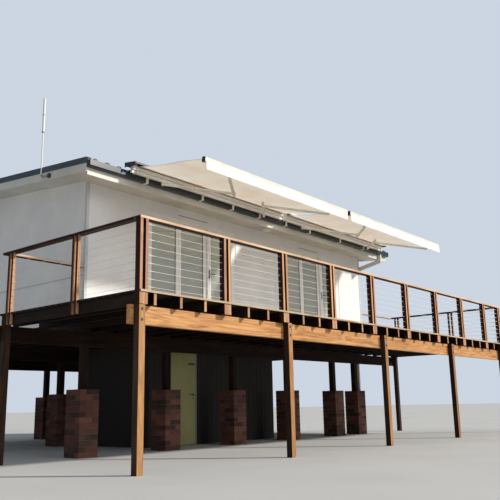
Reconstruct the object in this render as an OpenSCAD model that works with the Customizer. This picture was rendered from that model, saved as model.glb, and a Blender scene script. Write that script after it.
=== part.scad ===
// A house on brick piers with a timber deck on stilts, wire railing and two folding arm awnings

/* [Deck] */
// Distance between neighbouring stilts along the front
stilt_spacing = 3000; // [2600:50:3400]
// Number of bays between the front stilts
stilt_bays = 4; // [4:1:6]
// Side of a square stilt
stilt_side = 100; // [90:5:125]
// Depth of the deck from the front of the stilts to the house wall
deck_depth = 3000; // [2800:50:3400]
// Height of the deck surface above the lowest ground
deck_height = 2170; // [2100:10:2600]
// Thickness of a deck board
board_t = 28; // [19:1:32]
// Width of a deck board
board_w = 140; // [120:5:150]
// Gap between deck boards
board_gap = 5; // [3:1:8]
// How far the first board stands out past the joist ends
board_nose = 15; // [5:1:30]
// Depth of a joist
joist_h = 150; // [120:5:200]
// Width of a joist
joist_w = 45; // [35:1:50]
// Distance between joist centres
joist_spacing = 450; // [400:10:500]
// How far the joist ends stand out past the front of the stilts
joist_nose = 10; // [0:1:25]
// Depth of the long bearers
bearer_h = 235; // [190:5:260]
// Thickness of the long bearers
bearer_t = 70; // [45:5:90]
// How far a bearer end runs past its corner stilt
bearer_nose = 55; // [20:5:90]

/* [Railing] */
// Height of the handrail's top above the deck
rail_height = 935; // [900:5:1100]
// Thickness of the flat handrail
rail_t = 35; // [28:1:45]
// Width of the flat handrail
rail_w = 115; // [105:5:140]
// Thickness of one post plank
plank_t = 45; // [38:1:50]
// Depth of one post plank
plank_d = 90; // [80:5:95]
// Joists from one rail post to the next
post_step = 3; // [2:1:4]
// Number of rail wires
wire_count = 9; // [7:1:10]
// Thickness of a rail wire
wire_d = 4; // [3:0.5:5]
// Hole through a plank is this much wider than its wire
wire_slack = 1.2; // [0.8:0.2:2]

/* [Piers] */
// Side of a square brick pier
pier_side = 380; // [340:10:420]
// Height of a brick pier
pier_height = 1070; // [900:10:1200]
// Side of the timber post on a pier
pier_post = 120; // [100:5:140]
// Distance between piers along the house
pier_spacing = 1870; // [1800:10:1900]
// Distance between rows of piers, front to back
row_spacing = 3300; // [3200:20:3360]

/* [House] */
// Length of the house along the deck
house_length = 8890; // [8800:10:9400]
// Depth of the house, front to back
house_depth = 7000; // [6900:50:7200]
// Distance from the deck's left end to the house's left wall
house_inset = 1410; // [1350:10:1500]
// Height of the walls from floor to eave
wall_height = 2400; // [2350:10:2600]
// Thickness of the outer walls
wall_t = 110; // [100:5:140]
// Height of a doorway in the front wall
door_head = 2160; // [2040:10:2180]
// Left edge of the first sliding door, from the house's left end
door1_left = 1350; // [1280:10:1450]
// Width of the first sliding door
door1_w = 2500; // [2300:10:2560]
// Left edge of the second sliding door, from the house's left end
door2_left = 5450; // [5400:10:5560]
// Width of the second sliding door
door2_w = 2400; // [2300:10:2500]
// Width of a back window
window_w = 1500; // [1200:50:1800]
// Height of a back window
window_h = 1100; // [900:50:1200]
// Height of a back window's sill above the floor
window_sill = 1000; // [900:20:1100]
// Width of the bars of the door and window frames
frame_w = 45; // [35:1:60]
// Depth of the door and window frames
frame_d = 80; // [60:5:90]
// Thickness of the window glass
glass_t = 6; // [4:1:10]

/* [Roof] */
// Slope of the roof in degrees
roof_pitch = 5.2; // [4:0.2:8]
// Distance from the front and back walls to the fascia faces
eave_overhang = 570; // [500:10:600]
// Distance from the end walls to the barge board faces
rake_overhang = 460; // [400:10:500]
// Height of the roof frame over the wall
heel_h = 172; // [165:1:200]
// Thickness of the roof sheet between its ribs
sheet_t = 30; // [24:1:36]
// Height of a rib on the roof sheet
rib_h = 25; // [18:1:30]
// Distance between ribs
rib_spacing = 250; // [200:10:300]
// Thickness of fascia and barge boards
fascia_t = 20; // [16:1:25]
// Drop of the fascia below the soffit
fascia_drop = 100; // [80:5:120]
// Depth of the barge board below the roof sheet
barge_drop = 183; // [178:1:190]
// Thickness of the soffit sheets
soffit_t = 15; // [10:1:18]
// Width of a gutter
gutter_w = 100; // [90:5:115]
// Height of a gutter
gutter_h = 115; // [100:5:120]
// Wall of a gutter
gutter_t = 3; // [2:0.5:5]
// Width of the dark edge flashing
flashing_h = 100; // [80:5:120]
// Thickness of the dark edge flashing
flashing_t = 6; // [4:1:8]

/* [Store under the house] */
// Distance from the house front to the store's front wall
store_setback = 1000; // [900:10:1100]
// Depth of the store
store_depth = 2200; // [2000:10:2240]
// Distance from the house's left end to the store's left wall
store_left = 2340; // [2300:10:2400]
// Length of the store
store_length = 3950; // [3800:10:4100]
// Thickness of the store's walls
store_wall_t = 90; // [70:5:110]
// Distance from the store's left end to the door leaf
door_offset = 490; // [350:10:600]
// Width of the store door
leaf_w = 810; // [720:10:870]
// Distance from the top of the store door to the floor frame above it
leaf_headroom = 72; // [60:1:120]
// Thickness of the store door
leaf_t = 35; // [32:1:42]
// Gap round the store door
leaf_gap = 3; // [2:0.5:4]
// Gap under the store door
leaf_floor_gap = 10; // [5:1:20]
// Radius of a hinge pin
pin_r = 3; // [2.5:0.5:4]
// Radius of a hinge barrel
barrel_r = 7; // [6:0.5:9]

/* [Awnings] */
// Width of one awning
awning_w = 4120; // [4000:20:4160]
// Gap between the two awnings
awning_gap = 100; // [80:10:160]
// Distance from the house's left end to the left awning
awning_left = 410; // [380:10:560]
// Length of one arm member between its pivots
arm_length = 1300; // [1200:10:1340]
// Angle between an arm member and straight ahead
arm_angle = 52; // [46:1:58]
// Slope of the arms in degrees
arm_pitch = 8; // [6:0.5:10]
// Distance from the middle of an awning to its shoulder pivots
shoulder_x = 1430; // [1400:10:1500]
// Height of the shoulder pivots above the deck
shoulder_h = 2425; // [2415:5:2460]
// Distance from the gutter front to the shoulder pivots
shoulder_gap = 80; // [70:5:100]
// Width of an arm member
arm_w = 50; // [40:2:60]
// Thickness of an arm member
arm_t = 36; // [30:2:40]
// Space between the upper arm and the forearm below it
arm_space = 10; // [8:1:14]
// Radius of the arm pivot pins
pivot_r = 8; // [6:1:10]
// Radius of the fabric roller
roller_r = 39; // [35:1:45]
// Height of the front bar
front_bar_h = 90; // [70:5:100]
// Depth of the front bar
front_bar_d = 70; // [60:5:80]
// Length of the valance below the front bar
valance_h = 150; // [120:10:180]
// Thickness of the fabric
fabric_t = 4; // [3:1:6]

/* [Antenna] */
// Height of the antenna above its foot
antenna_h = 1480; // [1200:20:1700]
// Radius of the antenna pole
pole_r = 12.5; // [10:0.5:16]
// Distance from the house front to the antenna pole
antenna_y = 680; // [500:10:900]

/* [Hidden] */

timber = "#b9773f";
timber_dark = "#8a5a34";
brick_red = "#7d3f2c";
wall_white = "#ecebe6";
trim_grey = "#9a9c9c";
roof_dark = "#26303d";
metal_white = "#f1efe9";
fabric_cream = "#f3ead9";
steel = "#c3c6c8";
glass_tint = "#8fa0a6";
store_brown = "#5b4a3e";
door_cream = "#e6dfb4";

facets = 48;
seat = 0.3;
moving_gap = 5;

// Deck levels and lengths
deck_length = stilt_bays * stilt_spacing + stilt_side;
joist_top = deck_height - board_t;
joist_base = joist_top - joist_h;
bearer_base = joist_base - bearer_h;
rail_base = deck_height + rail_height - rail_t;
first_joist = 250;
corner_joist = 60;
field_joists = floor((deck_length - 2 * corner_joist - first_joist) / joist_spacing) + 1;
last_joist = deck_length - corner_joist;
field_xs = [for (i = [0 : field_joists - 1]) first_joist + i * joist_spacing];
joist_xs = concat([corner_joist], [for (x = field_xs) if (x < last_joist - 2 * joist_w) x], [last_joist]);
post_xs = concat(
    [corner_joist],
    [
        for (i = [post_step : post_step : field_joists - 1])
            if (field_xs[i] < last_joist - 2 * joist_spacing) field_xs[i]
    ],
    [last_joist]
);
wire_pitch = (rail_base - deck_height) / wire_count;
wire_zs = [for (i = [0 : wire_count - 1]) deck_height + wire_pitch * (i + 0.5)];
wire_y = -joist_nose + plank_d / 2;
wire_hole_r = wire_d / 2 + wire_slack / 2;

// House edges
house_x0 = house_inset;
house_x1 = house_inset + house_length;
house_y0 = deck_depth;
house_y1 = deck_depth + house_depth;
floor_base = joist_base;
wall_top = deck_height + wall_height;
rear_bearer_y = house_y0 + bearer_t;
rear_stilt_y = rear_bearer_y - stilt_side;
deck_back = rear_bearer_y + bearer_t;
first_pier_x = house_x0 + pier_side / 2;
last_pier_x = house_x1 - pier_side / 2;
first_row_y = deck_back + pier_post / 2;
pier_xs = concat(
    [for (x = [first_pier_x : pier_spacing : last_pier_x - pier_side * 2]) x],
    [last_pier_x]
);
row_ys = [first_row_y, first_row_y + row_spacing, house_y1 - pier_side / 2];

// Roof
ridge_y = (house_y0 + house_y1) / 2;
eave_y0 = house_y0 - eave_overhang;
eave_y1 = house_y1 + eave_overhang;
rake_x0 = house_x0 - rake_overhang;
rake_x1 = house_x1 + rake_overhang;
sheet_y0 = eave_y0 - gutter_w * 0.3;
function roof_z(y) = wall_top + heel_h + (min(y, 2 * ridge_y - y) - house_y0) * tan(roof_pitch);
soffit_base = wall_top - soffit_t;
fascia_base = soffit_base - fascia_drop;
gutter_top = roof_z(sheet_y0) - seat;
lining_lift = 45;

// Store and its door
store_y0 = house_y0 + store_setback;
store_y1 = store_y0 + store_depth;
store_x0 = house_x0 + store_left;
store_x1 = store_x0 + store_length;
leaf_x0 = store_x0 + door_offset;
hinge_x = leaf_x0 - leaf_gap / 2;
hinge_y = store_y0 - barrel_r;
leaf_top = floor_base - leaf_headroom;
leaf_h = leaf_top - leaf_floor_gap;
hinge_zs = [leaf_floor_gap + leaf_h * 0.1, leaf_floor_gap + leaf_h * 0.86];
knuckle_h = 35;
flap_w = 45;
flap_t = 3;
stop_w = 12;

// Awnings
awning_x0s = [house_x0 + awning_left, house_x0 + awning_left + awning_w + awning_gap];
shoulder_y = eave_y0 - gutter_w - shoulder_gap;
shoulder_z = deck_height + shoulder_h;
arm_reach = 2 * arm_length * cos(arm_angle);
forearm_drop = arm_t + arm_space;
bar_z = 3 * arm_t / 2 + 2 * arm_space;
torsion_side = 40;
torsion_gap = 20;
torsion_z = shoulder_z + arm_t / 2 + torsion_gap;
roller_y = shoulder_y + 5;
roller_z = torsion_z + torsion_side + torsion_gap + roller_r;
end_plate_r = roller_r + 12;
hood_front = shoulder_y - 130;
hood_back = sheet_y0;
hood_rise = 30;
hood_t = 4;
hood_end = 110;
function hood_z(y) = roller_z + roller_r + hood_rise + (y - hood_front) * tan(arm_pitch);
bar_corner = 14;
bar_wall = 4;
bracket_w = 50;
bracket_t = 10;

// Extent of the whole house, which sets the origin at the middle of its footprint
extent_x0 = -bearer_nose;
extent_x1 = deck_length + bearer_nose;
extent_y0 = -joist_nose - board_nose;
extent_y1 = eave_y1 + gutter_w;

module on_site() {
    translate([-(extent_x0 + extent_x1) / 2, -(extent_y0 + extent_y1) / 2, 0]) children();
}

module box(x, y, z) {
    translate([x[0], y[0], z[0]]) cube([x[1] - x[0], y[1] - y[0], z[1] - z[0]]);
}

// A shape drawn in the side view, with y to the right and z up, as long as the given stretch of x
module side_prism(x, points) {
    translate([x[0], 0, 0]) rotate([90, 0, 90]) linear_extrude(x[1] - x[0]) polygon(points);
}

module both_eaves() {
    children();
    translate([0, 2 * ridge_y, 0]) mirror([0, 1, 0]) children();
}

module both_rakes() {
    children();
    translate([house_x0 + house_x1, 0, 0]) mirror([1, 0, 0]) children();
}

module stilts() {
    color(timber) on_site() {
        for (i = [0 : stilt_bays])
            box([i * stilt_spacing, i * stilt_spacing + stilt_side], [0, stilt_side], [0, joist_base]);
        for (x = [0, stilt_bays * stilt_spacing])
            box([x, x + stilt_side], [rear_stilt_y, rear_bearer_y], [0, joist_base]);
    }
}

module long_bearer(y) {
    box([extent_x0, extent_x1], [y, y + bearer_t], [bearer_base, joist_base]);
}

module front_bearer() {
    color(timber) on_site() long_bearer(stilt_side);
}

module rear_bearer() {
    color(timber_dark) on_site() long_bearer(rear_bearer_y);
}

module house_bearers() {
    color(timber_dark) on_site()
        for (i = [1, 2])
            box(
                [house_x0, house_x1], [row_ys[i] - bearer_t / 2, row_ys[i] + bearer_t / 2],
                [bearer_base, floor_base]
            );
}

// Joists in front of the house end at its ledger
ledger_y = house_y0 - joist_w;
function joist_end(x) = (x > house_x0 - joist_w && x < house_x1 + joist_w) ? ledger_y - seat : deck_back;

// The joists end on a ledger along the house, and run back to the rear bearer beside it
module deck_joists() {
    color(timber) on_site() {
        for (x = joist_xs)
            box([x - joist_w / 2, x + joist_w / 2], [-joist_nose, joist_end(x)], [joist_base, joist_top]);
        box([house_x0, house_x1], [ledger_y, house_y0], [joist_base, joist_top]);
    }
}

module post_planks(grow) {
    for (x = post_xs, side = [-1, 1])
        translate([x + side * (joist_w + plank_t) / 2, -joist_nose + plank_d / 2, 0])
            plank_column(plank_t + 2 * grow, plank_d + 2 * grow);
}

module plank_column(w, d) {
    translate([-w / 2, -d / 2, joist_base]) cube([w, d, rail_base - joist_base]);
}

// Deck boards run along the house and are notched round the planks of the rail posts
module deck_boards() {
    board_step = board_w + board_gap;
    count = floor((deck_back - extent_y0 + board_gap) / board_step);
    last_edge = extent_y0 + count * board_step;
    color(timber) on_site() difference() {
        for (i = [0 : count]) {
            y0 = extent_y0 + i * board_step;
            y1 = min(y0 + board_w, deck_back);
            if (y1 > y0 + board_gap) deck_board(y0, y1);
        }
        post_planks(moving_gap / 2);
        side_post_planks(moving_gap / 2);
    }
}

// Beside the house a board that reaches past the house wall is kept out of it
module deck_board(y0, y1) {
    difference() {
        box([0, deck_length], [y0, y1], [joist_top, deck_height]);
        box([house_x0, house_x1], [house_y0, deck_back + 1], [joist_top - 1, deck_height + 1]);
    }
}

module rail_posts() {
    color(timber) on_site() difference() {
        post_planks(0);
        for (z = wire_zs) translate([-1, wire_y, z]) rotate([0, 90, 0])
            cylinder(r = wire_hole_r, h = deck_length + 2, $fn = facets);
    }
}

side_post_ys = [deck_depth * 0.44, deck_depth - plank_t * 2];
side_rail_x = corner_joist - joist_w / 2 - plank_t / 2;

module side_post_planks(grow) {
    for (y = side_post_ys, side = [-1, 1], end = [0, 1]) {
        x = end == 0 ? side_rail_x : deck_length - side_rail_x;
        translate([x, y + side * (joist_w + plank_t) / 2, 0])
            plank_column(plank_t + 2 * grow, plank_t + 2 * grow);
    }
}

module side_rail_posts() {
    color(timber) on_site() difference() {
        side_post_planks(0);
        for (x = [side_rail_x, deck_length - side_rail_x], z = wire_zs)
            translate([x, plank_d, z]) rotate([-90, 0, 0])
                cylinder(r = wire_hole_r, h = deck_back - plank_d, $fn = facets);
    }
}

// The front length runs over both corners; the others butt against it and end at the house's strips
module handrails() {
    z = [rail_base, rail_base + rail_t];
    edge = rail_w - joist_nose;
    color(timber) on_site() {
        box([-joist_nose, deck_length + joist_nose], [-joist_nose, edge], z);
        for (x = [[-joist_nose, edge], [deck_length - edge, deck_length + joist_nose]])
            box(x, [edge + seat, deck_back], z);
        for (x = [
            [edge + seat, house_x0 - strip_t - seat],
            [house_x1 + strip_t + seat, deck_length - edge - seat]
        ])
            box(x, [deck_back - rail_w, deck_back], z);
    }
}

module front_rail_wires() {
    color(steel) on_site()
        for (z = wire_zs) translate([side_rail_x + plank_t / 2, wire_y, z]) rotate([0, 90, 0])
            cylinder(d = wire_d, h = deck_length - 2 * side_rail_x - plank_t, $fn = 8);
}

module side_rail_wires() {
    wire_start = plank_d - joist_nose;
    color(steel) on_site()
        for (x = [side_rail_x, deck_length - side_rail_x], z = wire_zs)
            translate([x, wire_start, z]) rotate([-90, 0, 0])
                cylinder(d = wire_d, h = side_post_ys[1] + plank_t - wire_start, $fn = 8);
}

module brick_pier(x, y) {
    box([x - pier_side / 2, x + pier_side / 2], [y - pier_side / 2, y + pier_side / 2], [0, pier_height]);
}

module front_brick_piers() {
    color(brick_red) on_site() for (x = pier_xs) brick_pier(x, row_ys[0]);
}

module rear_brick_piers() {
    color(brick_red) on_site() for (x = pier_xs, i = [1, 2]) brick_pier(x, row_ys[i]);
}

// Front posts stand behind the rear bearer and carry the floor, the others carry their bearers
module pier_posts() {
    color(timber_dark) on_site()
        for (x = pier_xs, i = [0, 1, 2])
            box(
                [x - pier_post / 2, x + pier_post / 2],
                [row_ys[i] - pier_post / 2, row_ys[i] + pier_post / 2],
                [pier_height, i == 0 ? floor_base : bearer_base]
            );
}

module house_floor() {
    color(timber_dark) on_site() box([house_x0, house_x1], [house_y0, house_y1], [floor_base, deck_height]);
}

module opening(left, width, sill, head, y0) {
    box([left, left + width], [y0 - 1, y0 + wall_t + 1], [sill, head]);
}

door1_x = house_x0 + door1_left;
door2_x = house_x0 + door2_left;
door_top = deck_height + door_head;
window_base = deck_height + window_sill;
window_xs = [house_x0 + house_length * 0.2 - window_w / 2, house_x0 + house_length * 0.8 - window_w / 2];

module front_wall() {
    color(wall_white) on_site() difference() {
        box([house_x0 + wall_t, house_x1 - wall_t], [house_y0, house_y0 + wall_t], [deck_height, wall_top]);
        opening(door1_x, door1_w, deck_height - 1, door_top, house_y0);
        opening(door2_x, door2_w, deck_height - 1, door_top, house_y0);
    }
}

module back_wall() {
    color(wall_white) on_site() difference() {
        box([house_x0 + wall_t, house_x1 - wall_t], [house_y1 - wall_t, house_y1], [deck_height, wall_top]);
        for (x = window_xs) opening(x, window_w, window_base, window_base + window_h, house_y1 - wall_t);
    }
}

module side_walls() {
    color(wall_white) on_site() both_rakes()
        side_prism([house_x0, house_x0 + wall_t], [
            [house_y0, deck_height], [house_y1, deck_height], [house_y1, roof_z(house_y1)],
            [ridge_y, roof_z(ridge_y)], [house_y0, roof_z(house_y0)]
        ]);
}

strip_w = 45;
strip_t = 8;
strip_before_door1 = 172;
strip_before_door2 = 252;
strip_xs = [door1_x - strip_before_door1, door2_x - strip_before_door2];

module cover_strips() {
    color(trim_grey) on_site() {
        for (x = strip_xs)
            box([x, x + strip_w], [house_y0 - strip_t, house_y0], [deck_height, soffit_base]);
        both_rakes() both_eaves() {
            box(
                [house_x0 - strip_t, house_x0 + strip_w], [house_y0 - strip_t, house_y0],
                [deck_height, soffit_base]
            );
            box([house_x0 - strip_t, house_x0], [house_y0, house_y0 + strip_w], [deck_height, soffit_base]);
        }
    }
}

module ceiling() {
    color(wall_white) on_site()
        box(
            [house_x0 + wall_t, house_x1 - wall_t], [house_y0 + wall_t, house_y1 - wall_t],
            [soffit_base, wall_top]
        );
}

truss_count = 11;
truss_t = 45;

module roof_trusses() {
    back = eave_y0 + fascia_t;
    first = house_x0 + wall_t;
    step = (house_length - 2 * wall_t - truss_t) / (truss_count - 1);
    color(timber_dark) on_site()
        for (i = [0 : truss_count - 1])
            side_prism([first + i * step, first + i * step + truss_t], [
                [back, wall_top], [2 * ridge_y - back, wall_top], [2 * ridge_y - back, roof_z(back)],
                [ridge_y, roof_z(ridge_y)], [back, roof_z(back)]
            ]);
}

// The sheet's outline across the ribs, drawn flat, then laid on the slope
module sheet_profile() {
    length = rake_x1 - rake_x0;
    count = floor(length / rib_spacing);
    margin = (length - count * rib_spacing) / 2;
    rib_foot = 40;
    rib_head = 22;
    ribs = [
        for (i = [0 : count - 1])
            let (c = margin + (i + 0.5) * rib_spacing)
                for (p = [[-rib_foot, 0], [-rib_head, rib_h], [rib_head, rib_h], [rib_foot, 0]])
                    [c + p[0], sheet_t + p[1]]
    ];
    polygon(concat([[0, 0], [0, sheet_t]], ribs, [[length, sheet_t], [length, 0]]));
}

module roof_sheet() {
    slope_length = (ridge_y - sheet_y0) / cos(roof_pitch) - sheet_t * tan(roof_pitch);
    translate([rake_x0, sheet_y0, roof_z(sheet_y0)])
        rotate([90 + roof_pitch, 0, 0])
            translate([0, 0, -slope_length]) linear_extrude(slope_length) sheet_profile();
}

module front_roof_sheet() {
    color(roof_dark) on_site() roof_sheet();
}

module back_roof_sheet() {
    color(roof_dark) on_site() translate([0, 2 * ridge_y, 0]) mirror([0, 1, 0]) roof_sheet();
}

// Dark metal edges along both slopes, joined by the ridge cap
module roof_flashings() {
    sheet_top = (sheet_t + rib_h) / cos(roof_pitch) + seat;
    half = 180;
    color(roof_dark) on_site() {
        both_rakes() both_eaves() {
            side_prism([rake_x0 - flashing_t, rake_x0], [
                [eave_y0, roof_z(eave_y0) + sheet_top - flashing_h],
                [ridge_y, roof_z(ridge_y) + sheet_top - flashing_h],
                [ridge_y, roof_z(ridge_y) + sheet_top + flashing_t],
                [eave_y0, roof_z(eave_y0) + sheet_top + flashing_t]
            ]);
            side_prism([rake_x0, rake_x0 + flashing_h], [
                [eave_y0, roof_z(eave_y0) + sheet_top],
                [ridge_y, roof_z(ridge_y) + sheet_top],
                [ridge_y, roof_z(ridge_y) + sheet_top + flashing_t],
                [eave_y0, roof_z(eave_y0) + sheet_top + flashing_t]
            ]);
        }
        side_prism([rake_x0 + flashing_h, rake_x1 - flashing_h], [
            [ridge_y - half, roof_z(ridge_y - half) + sheet_top],
            [ridge_y, roof_z(ridge_y) + sheet_top],
            [ridge_y + half, roof_z(ridge_y + half) + sheet_top],
            [ridge_y + half, roof_z(ridge_y + half) + sheet_top + flashing_t],
            [ridge_y, roof_z(ridge_y) + sheet_top + flashing_t],
            [ridge_y - half, roof_z(ridge_y - half) + sheet_top + flashing_t]
        ]);
    }
}

module eave_fascias() {
    color(metal_white) on_site() both_eaves()
        side_prism([rake_x0 + fascia_t, rake_x1 - fascia_t], [
            [eave_y0, fascia_base], [eave_y0 + fascia_t, fascia_base],
            [eave_y0 + fascia_t, roof_z(eave_y0 + fascia_t)], [eave_y0, roof_z(eave_y0)]
        ]);
}

// Two boards meet under the ridge at each end of the roof
module barge_boards() {
    joint_y = ridge_y - seat / 2;
    color(metal_white) on_site() both_rakes() both_eaves()
        side_prism([rake_x0, rake_x0 + fascia_t], [
            [eave_y0, roof_z(eave_y0) - barge_drop], [joint_y, roof_z(joint_y) - barge_drop],
            [joint_y, roof_z(joint_y)], [eave_y0, roof_z(eave_y0)]
        ]);
}

// Flat soffits under the eaves, and sloping ones under the rakes that meet under the ridge
module soffits() {
    joint_y = ridge_y - seat / 2;
    lining_z = barge_drop - lining_lift;
    color(metal_white) on_site() both_eaves() {
        box(
            [rake_x0 + fascia_t, rake_x1 - fascia_t], [eave_y0 + fascia_t, house_y0],
            [soffit_base, wall_top]
        );
        both_rakes()
            side_prism([rake_x0 + fascia_t, house_x0], [
                [house_y0, roof_z(house_y0) - lining_z - soffit_t],
                [joint_y, roof_z(joint_y) - lining_z - soffit_t],
                [joint_y, roof_z(joint_y) - lining_z], [house_y0, roof_z(house_y0) - lining_z]
            ]);
    }
}

// A folded channel with a slanted toe and a lip along its front edge, closed by a cap at each end
module gutter() {
    front = eave_y0 - gutter_w;
    base = gutter_top - gutter_h;
    toe = 20;
    lip = 12;
    side_prism([rake_x0 + gutter_t, rake_x1 - gutter_t], [
        [eave_y0, gutter_top], [eave_y0, base], [front + toe, base], [front, base + toe],
        [front, gutter_top], [front + lip, gutter_top], [front + lip, gutter_top - lip],
        [front + lip - gutter_t, gutter_top - lip], [front + lip - gutter_t, gutter_top - gutter_t],
        [front + gutter_t, gutter_top - gutter_t], [front + gutter_t, base + toe + 1],
        [front + toe + 1, base + gutter_t], [eave_y0 - gutter_t, base + gutter_t],
        [eave_y0 - gutter_t, gutter_top]
    ]);
    for (x = [rake_x0, rake_x1 - gutter_t])
        side_prism([x, x + gutter_t], [
            [eave_y0, gutter_top], [eave_y0, base], [front + toe, base], [front, base + toe],
            [front, gutter_top]
        ]);
}

module gutters() {
    color(roof_dark) on_site() both_eaves() gutter();
}

pipe_w = 100;
pipe_d = 50;
pipe_gap = 30;
pipe_x = house_x1 + pipe_gap;
pipe_y = deck_back + 40;

// Each pipe drops from its gutter, bends back under the rake and runs down beside the right end wall
module downpipes() {
    drop_y = eave_y0 - gutter_w + 10;
    drop_w = 80;
    bend_z = fascia_base - drop_w - 10;
    bend_h = 180;
    color(metal_white) on_site() both_eaves()
        side_prism([pipe_x, pipe_x + pipe_d], [
            [drop_y, gutter_top - gutter_h], [drop_y, bend_z], [pipe_y, bend_z - bend_h], [pipe_y, 0],
            [pipe_y + pipe_w, 0], [pipe_y + pipe_w, bend_z - bend_h + drop_w],
            [drop_y + drop_w, bend_z + drop_w], [drop_y + drop_w, gutter_top - gutter_h]
        ]);
}

// A bent pole on a bracket on the left barge board, with the thicker antenna at its top
module antenna_mast() {
    foot_y = house_y0 + antenna_y;
    foot_z = roof_z(foot_y) - barge_drop + 50;
    pole_x = rake_x0 - flashing_t - pole_r - moving_gap;
    bend_r = 60;
    arm_y = foot_y - 220;
    thick_h = antenna_h * 0.42;
    color(steel) on_site() {
        box([pole_x - pole_r, rake_x0], [arm_y - 40, arm_y + 20], [foot_z - 45, foot_z + 25]);
        translate([pole_x, arm_y + 20, foot_z]) rotate([-90, 0, 0])
            cylinder(r = pole_r, h = foot_y - bend_r - arm_y - 20, $fn = facets);
        translate([pole_x, foot_y - bend_r, foot_z + bend_r]) rotate([0, -90, 0]) rotate([0, 0, 90])
            rotate_extrude(angle = 90, $fn = facets) translate([bend_r, 0]) circle(r = pole_r, $fn = facets);
        translate([pole_x, foot_y, foot_z + bend_r])
            cylinder(r = pole_r, h = antenna_h - bend_r - thick_h, $fn = facets);
        translate([pole_x, foot_y, foot_z + antenna_h - thick_h])
            cylinder(r = pole_r * 1.8, h = thick_h, $fn = facets);
    }
}

sash_d = 36;
door_stile = 95;
door_lap = 10;
window_stile = 50;
track_gap = 4;

// Width of one of the equal sashes, which overlap by a stile
function sash_width(width, lights, lap) = (width - 2 * frame_w + (lights - 1) * lap) / lights;

// Left edge of a sash, and its front face: every second sash runs in the rear track
function sash_x(left, width, lights, lap, i) =
    left + frame_w + i * (sash_width(width, lights, lap) - lap);
function sash_y(y0, i) = y0 + track_gap / 2 + (i % 2) * (sash_d + track_gap);

module frame(left, width, sill, head, y0, lights, stile, lap) {
    difference() {
        box([left, left + width], [y0, y0 + frame_d], [sill, head]);
        box(
            [left + frame_w, left + width - frame_w], [y0 - 1, y0 + frame_d + 1],
            [sill + frame_w, head - frame_w]
        );
    }
    for (i = [0 : lights - 1]) {
        x0 = sash_x(left, width, lights, lap, i);
        x1 = x0 + sash_width(width, lights, lap);
        y = sash_y(y0, i);
        difference() {
            box([x0, x1], [y, y + sash_d], [sill + frame_w, head - frame_w]);
            box(
                [x0 + stile, x1 - stile], [y - 1, y + sash_d + 1],
                [sill + frame_w + stile, head - frame_w - stile]
            );
        }
    }
}

module panes(left, width, sill, head, y0, lights, stile, lap) {
    for (i = [0 : lights - 1]) {
        x0 = sash_x(left, width, lights, lap, i);
        y = sash_y(y0, i) + (sash_d - glass_t) / 2;
        box(
            [x0 + stile, x0 + sash_width(width, lights, lap) - stile], [y, y + glass_t],
            [sill + frame_w + stile, head - frame_w - stile]
        );
    }
}

frame_y = house_y0 + 10;
back_frame_y = house_y1 - 10 - frame_d;

module door_and_window_frames() {
    color(metal_white) on_site() {
        frame(door1_x, door1_w, deck_height, door_top, frame_y, 3, door_stile, door_lap);
        frame(door2_x, door2_w, deck_height, door_top, frame_y, 3, door_stile, door_lap);
        for (x = window_xs)
            frame(
                x, window_w, window_base, window_base + window_h, back_frame_y, 2,
                window_stile, window_stile
            );
    }
}

module door_and_window_glass() {
    color(glass_tint) on_site() {
        panes(door1_x, door1_w, deck_height, door_top, frame_y, 3, door_stile, door_lap);
        panes(door2_x, door2_w, deck_height, door_top, frame_y, 3, door_stile, door_lap);
        for (x = window_xs)
            panes(
                x, window_w, window_base, window_base + window_h, back_frame_y, 2,
                window_stile, window_stile
            );
    }
}

// A hanging of even folds, with its track on the wall over the doorway
module curtain(left, width) {
    fold = 90;
    depth = 22;
    cloth = 5;
    folds = floor(width / fold);
    steps = folds * 8;
    wall_face = house_y0 + wall_t;
    hang_y = wall_face + 60;
    run = width / steps;
    front = [for (i = [0 : steps]) [left + i * run, hang_y + depth * sin(i * 45)]];
    back = [for (i = [steps : -1 : 0]) [left + i * run, hang_y + cloth + depth * sin(i * 45)]];
    translate([0, 0, deck_height + 20]) linear_extrude(door_head + 20) polygon(concat(front, back));
    box([left, left + width], [wall_face, hang_y + 30], [door_top + 40, door_top + 65]);
}

module curtains() {
    color(fabric_cream) on_site() {
        curtain(door1_x - 60, door1_w + 120);
        curtain(door2_x - 60, door2_w + 120);
    }
}

module store_wall_left_of_door() {
    color(store_brown) on_site()
        box([store_x0, leaf_x0 - leaf_gap - frame_w], [store_y0, store_y0 + store_wall_t], [0, floor_base]);
}

module store_wall_right_of_door() {
    color(store_brown) on_site()
        box(
            [leaf_x0 + leaf_w + leaf_gap + frame_w, store_x1], [store_y0, store_y0 + store_wall_t],
            [0, floor_base]
        );
}

module store_wall_over_door() {
    color(store_brown) on_site()
        box(
            [leaf_x0 - leaf_gap - frame_w, leaf_x0 + leaf_w + leaf_gap + frame_w],
            [store_y0, store_y0 + store_wall_t],
            [leaf_top + leaf_gap + frame_w / 2, floor_base]
        );
}

module store_walls() {
    color(store_brown) on_site() {
        for (x = [store_x0, store_x1 - store_wall_t])
            box([x, x + store_wall_t], [store_y0 + store_wall_t, store_y1], [0, floor_base]);
        box(
            [store_x0 + store_wall_t, store_x1 - store_wall_t], [store_y1 - store_wall_t, store_y1],
            [0, floor_base]
        );
    }
}

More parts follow.
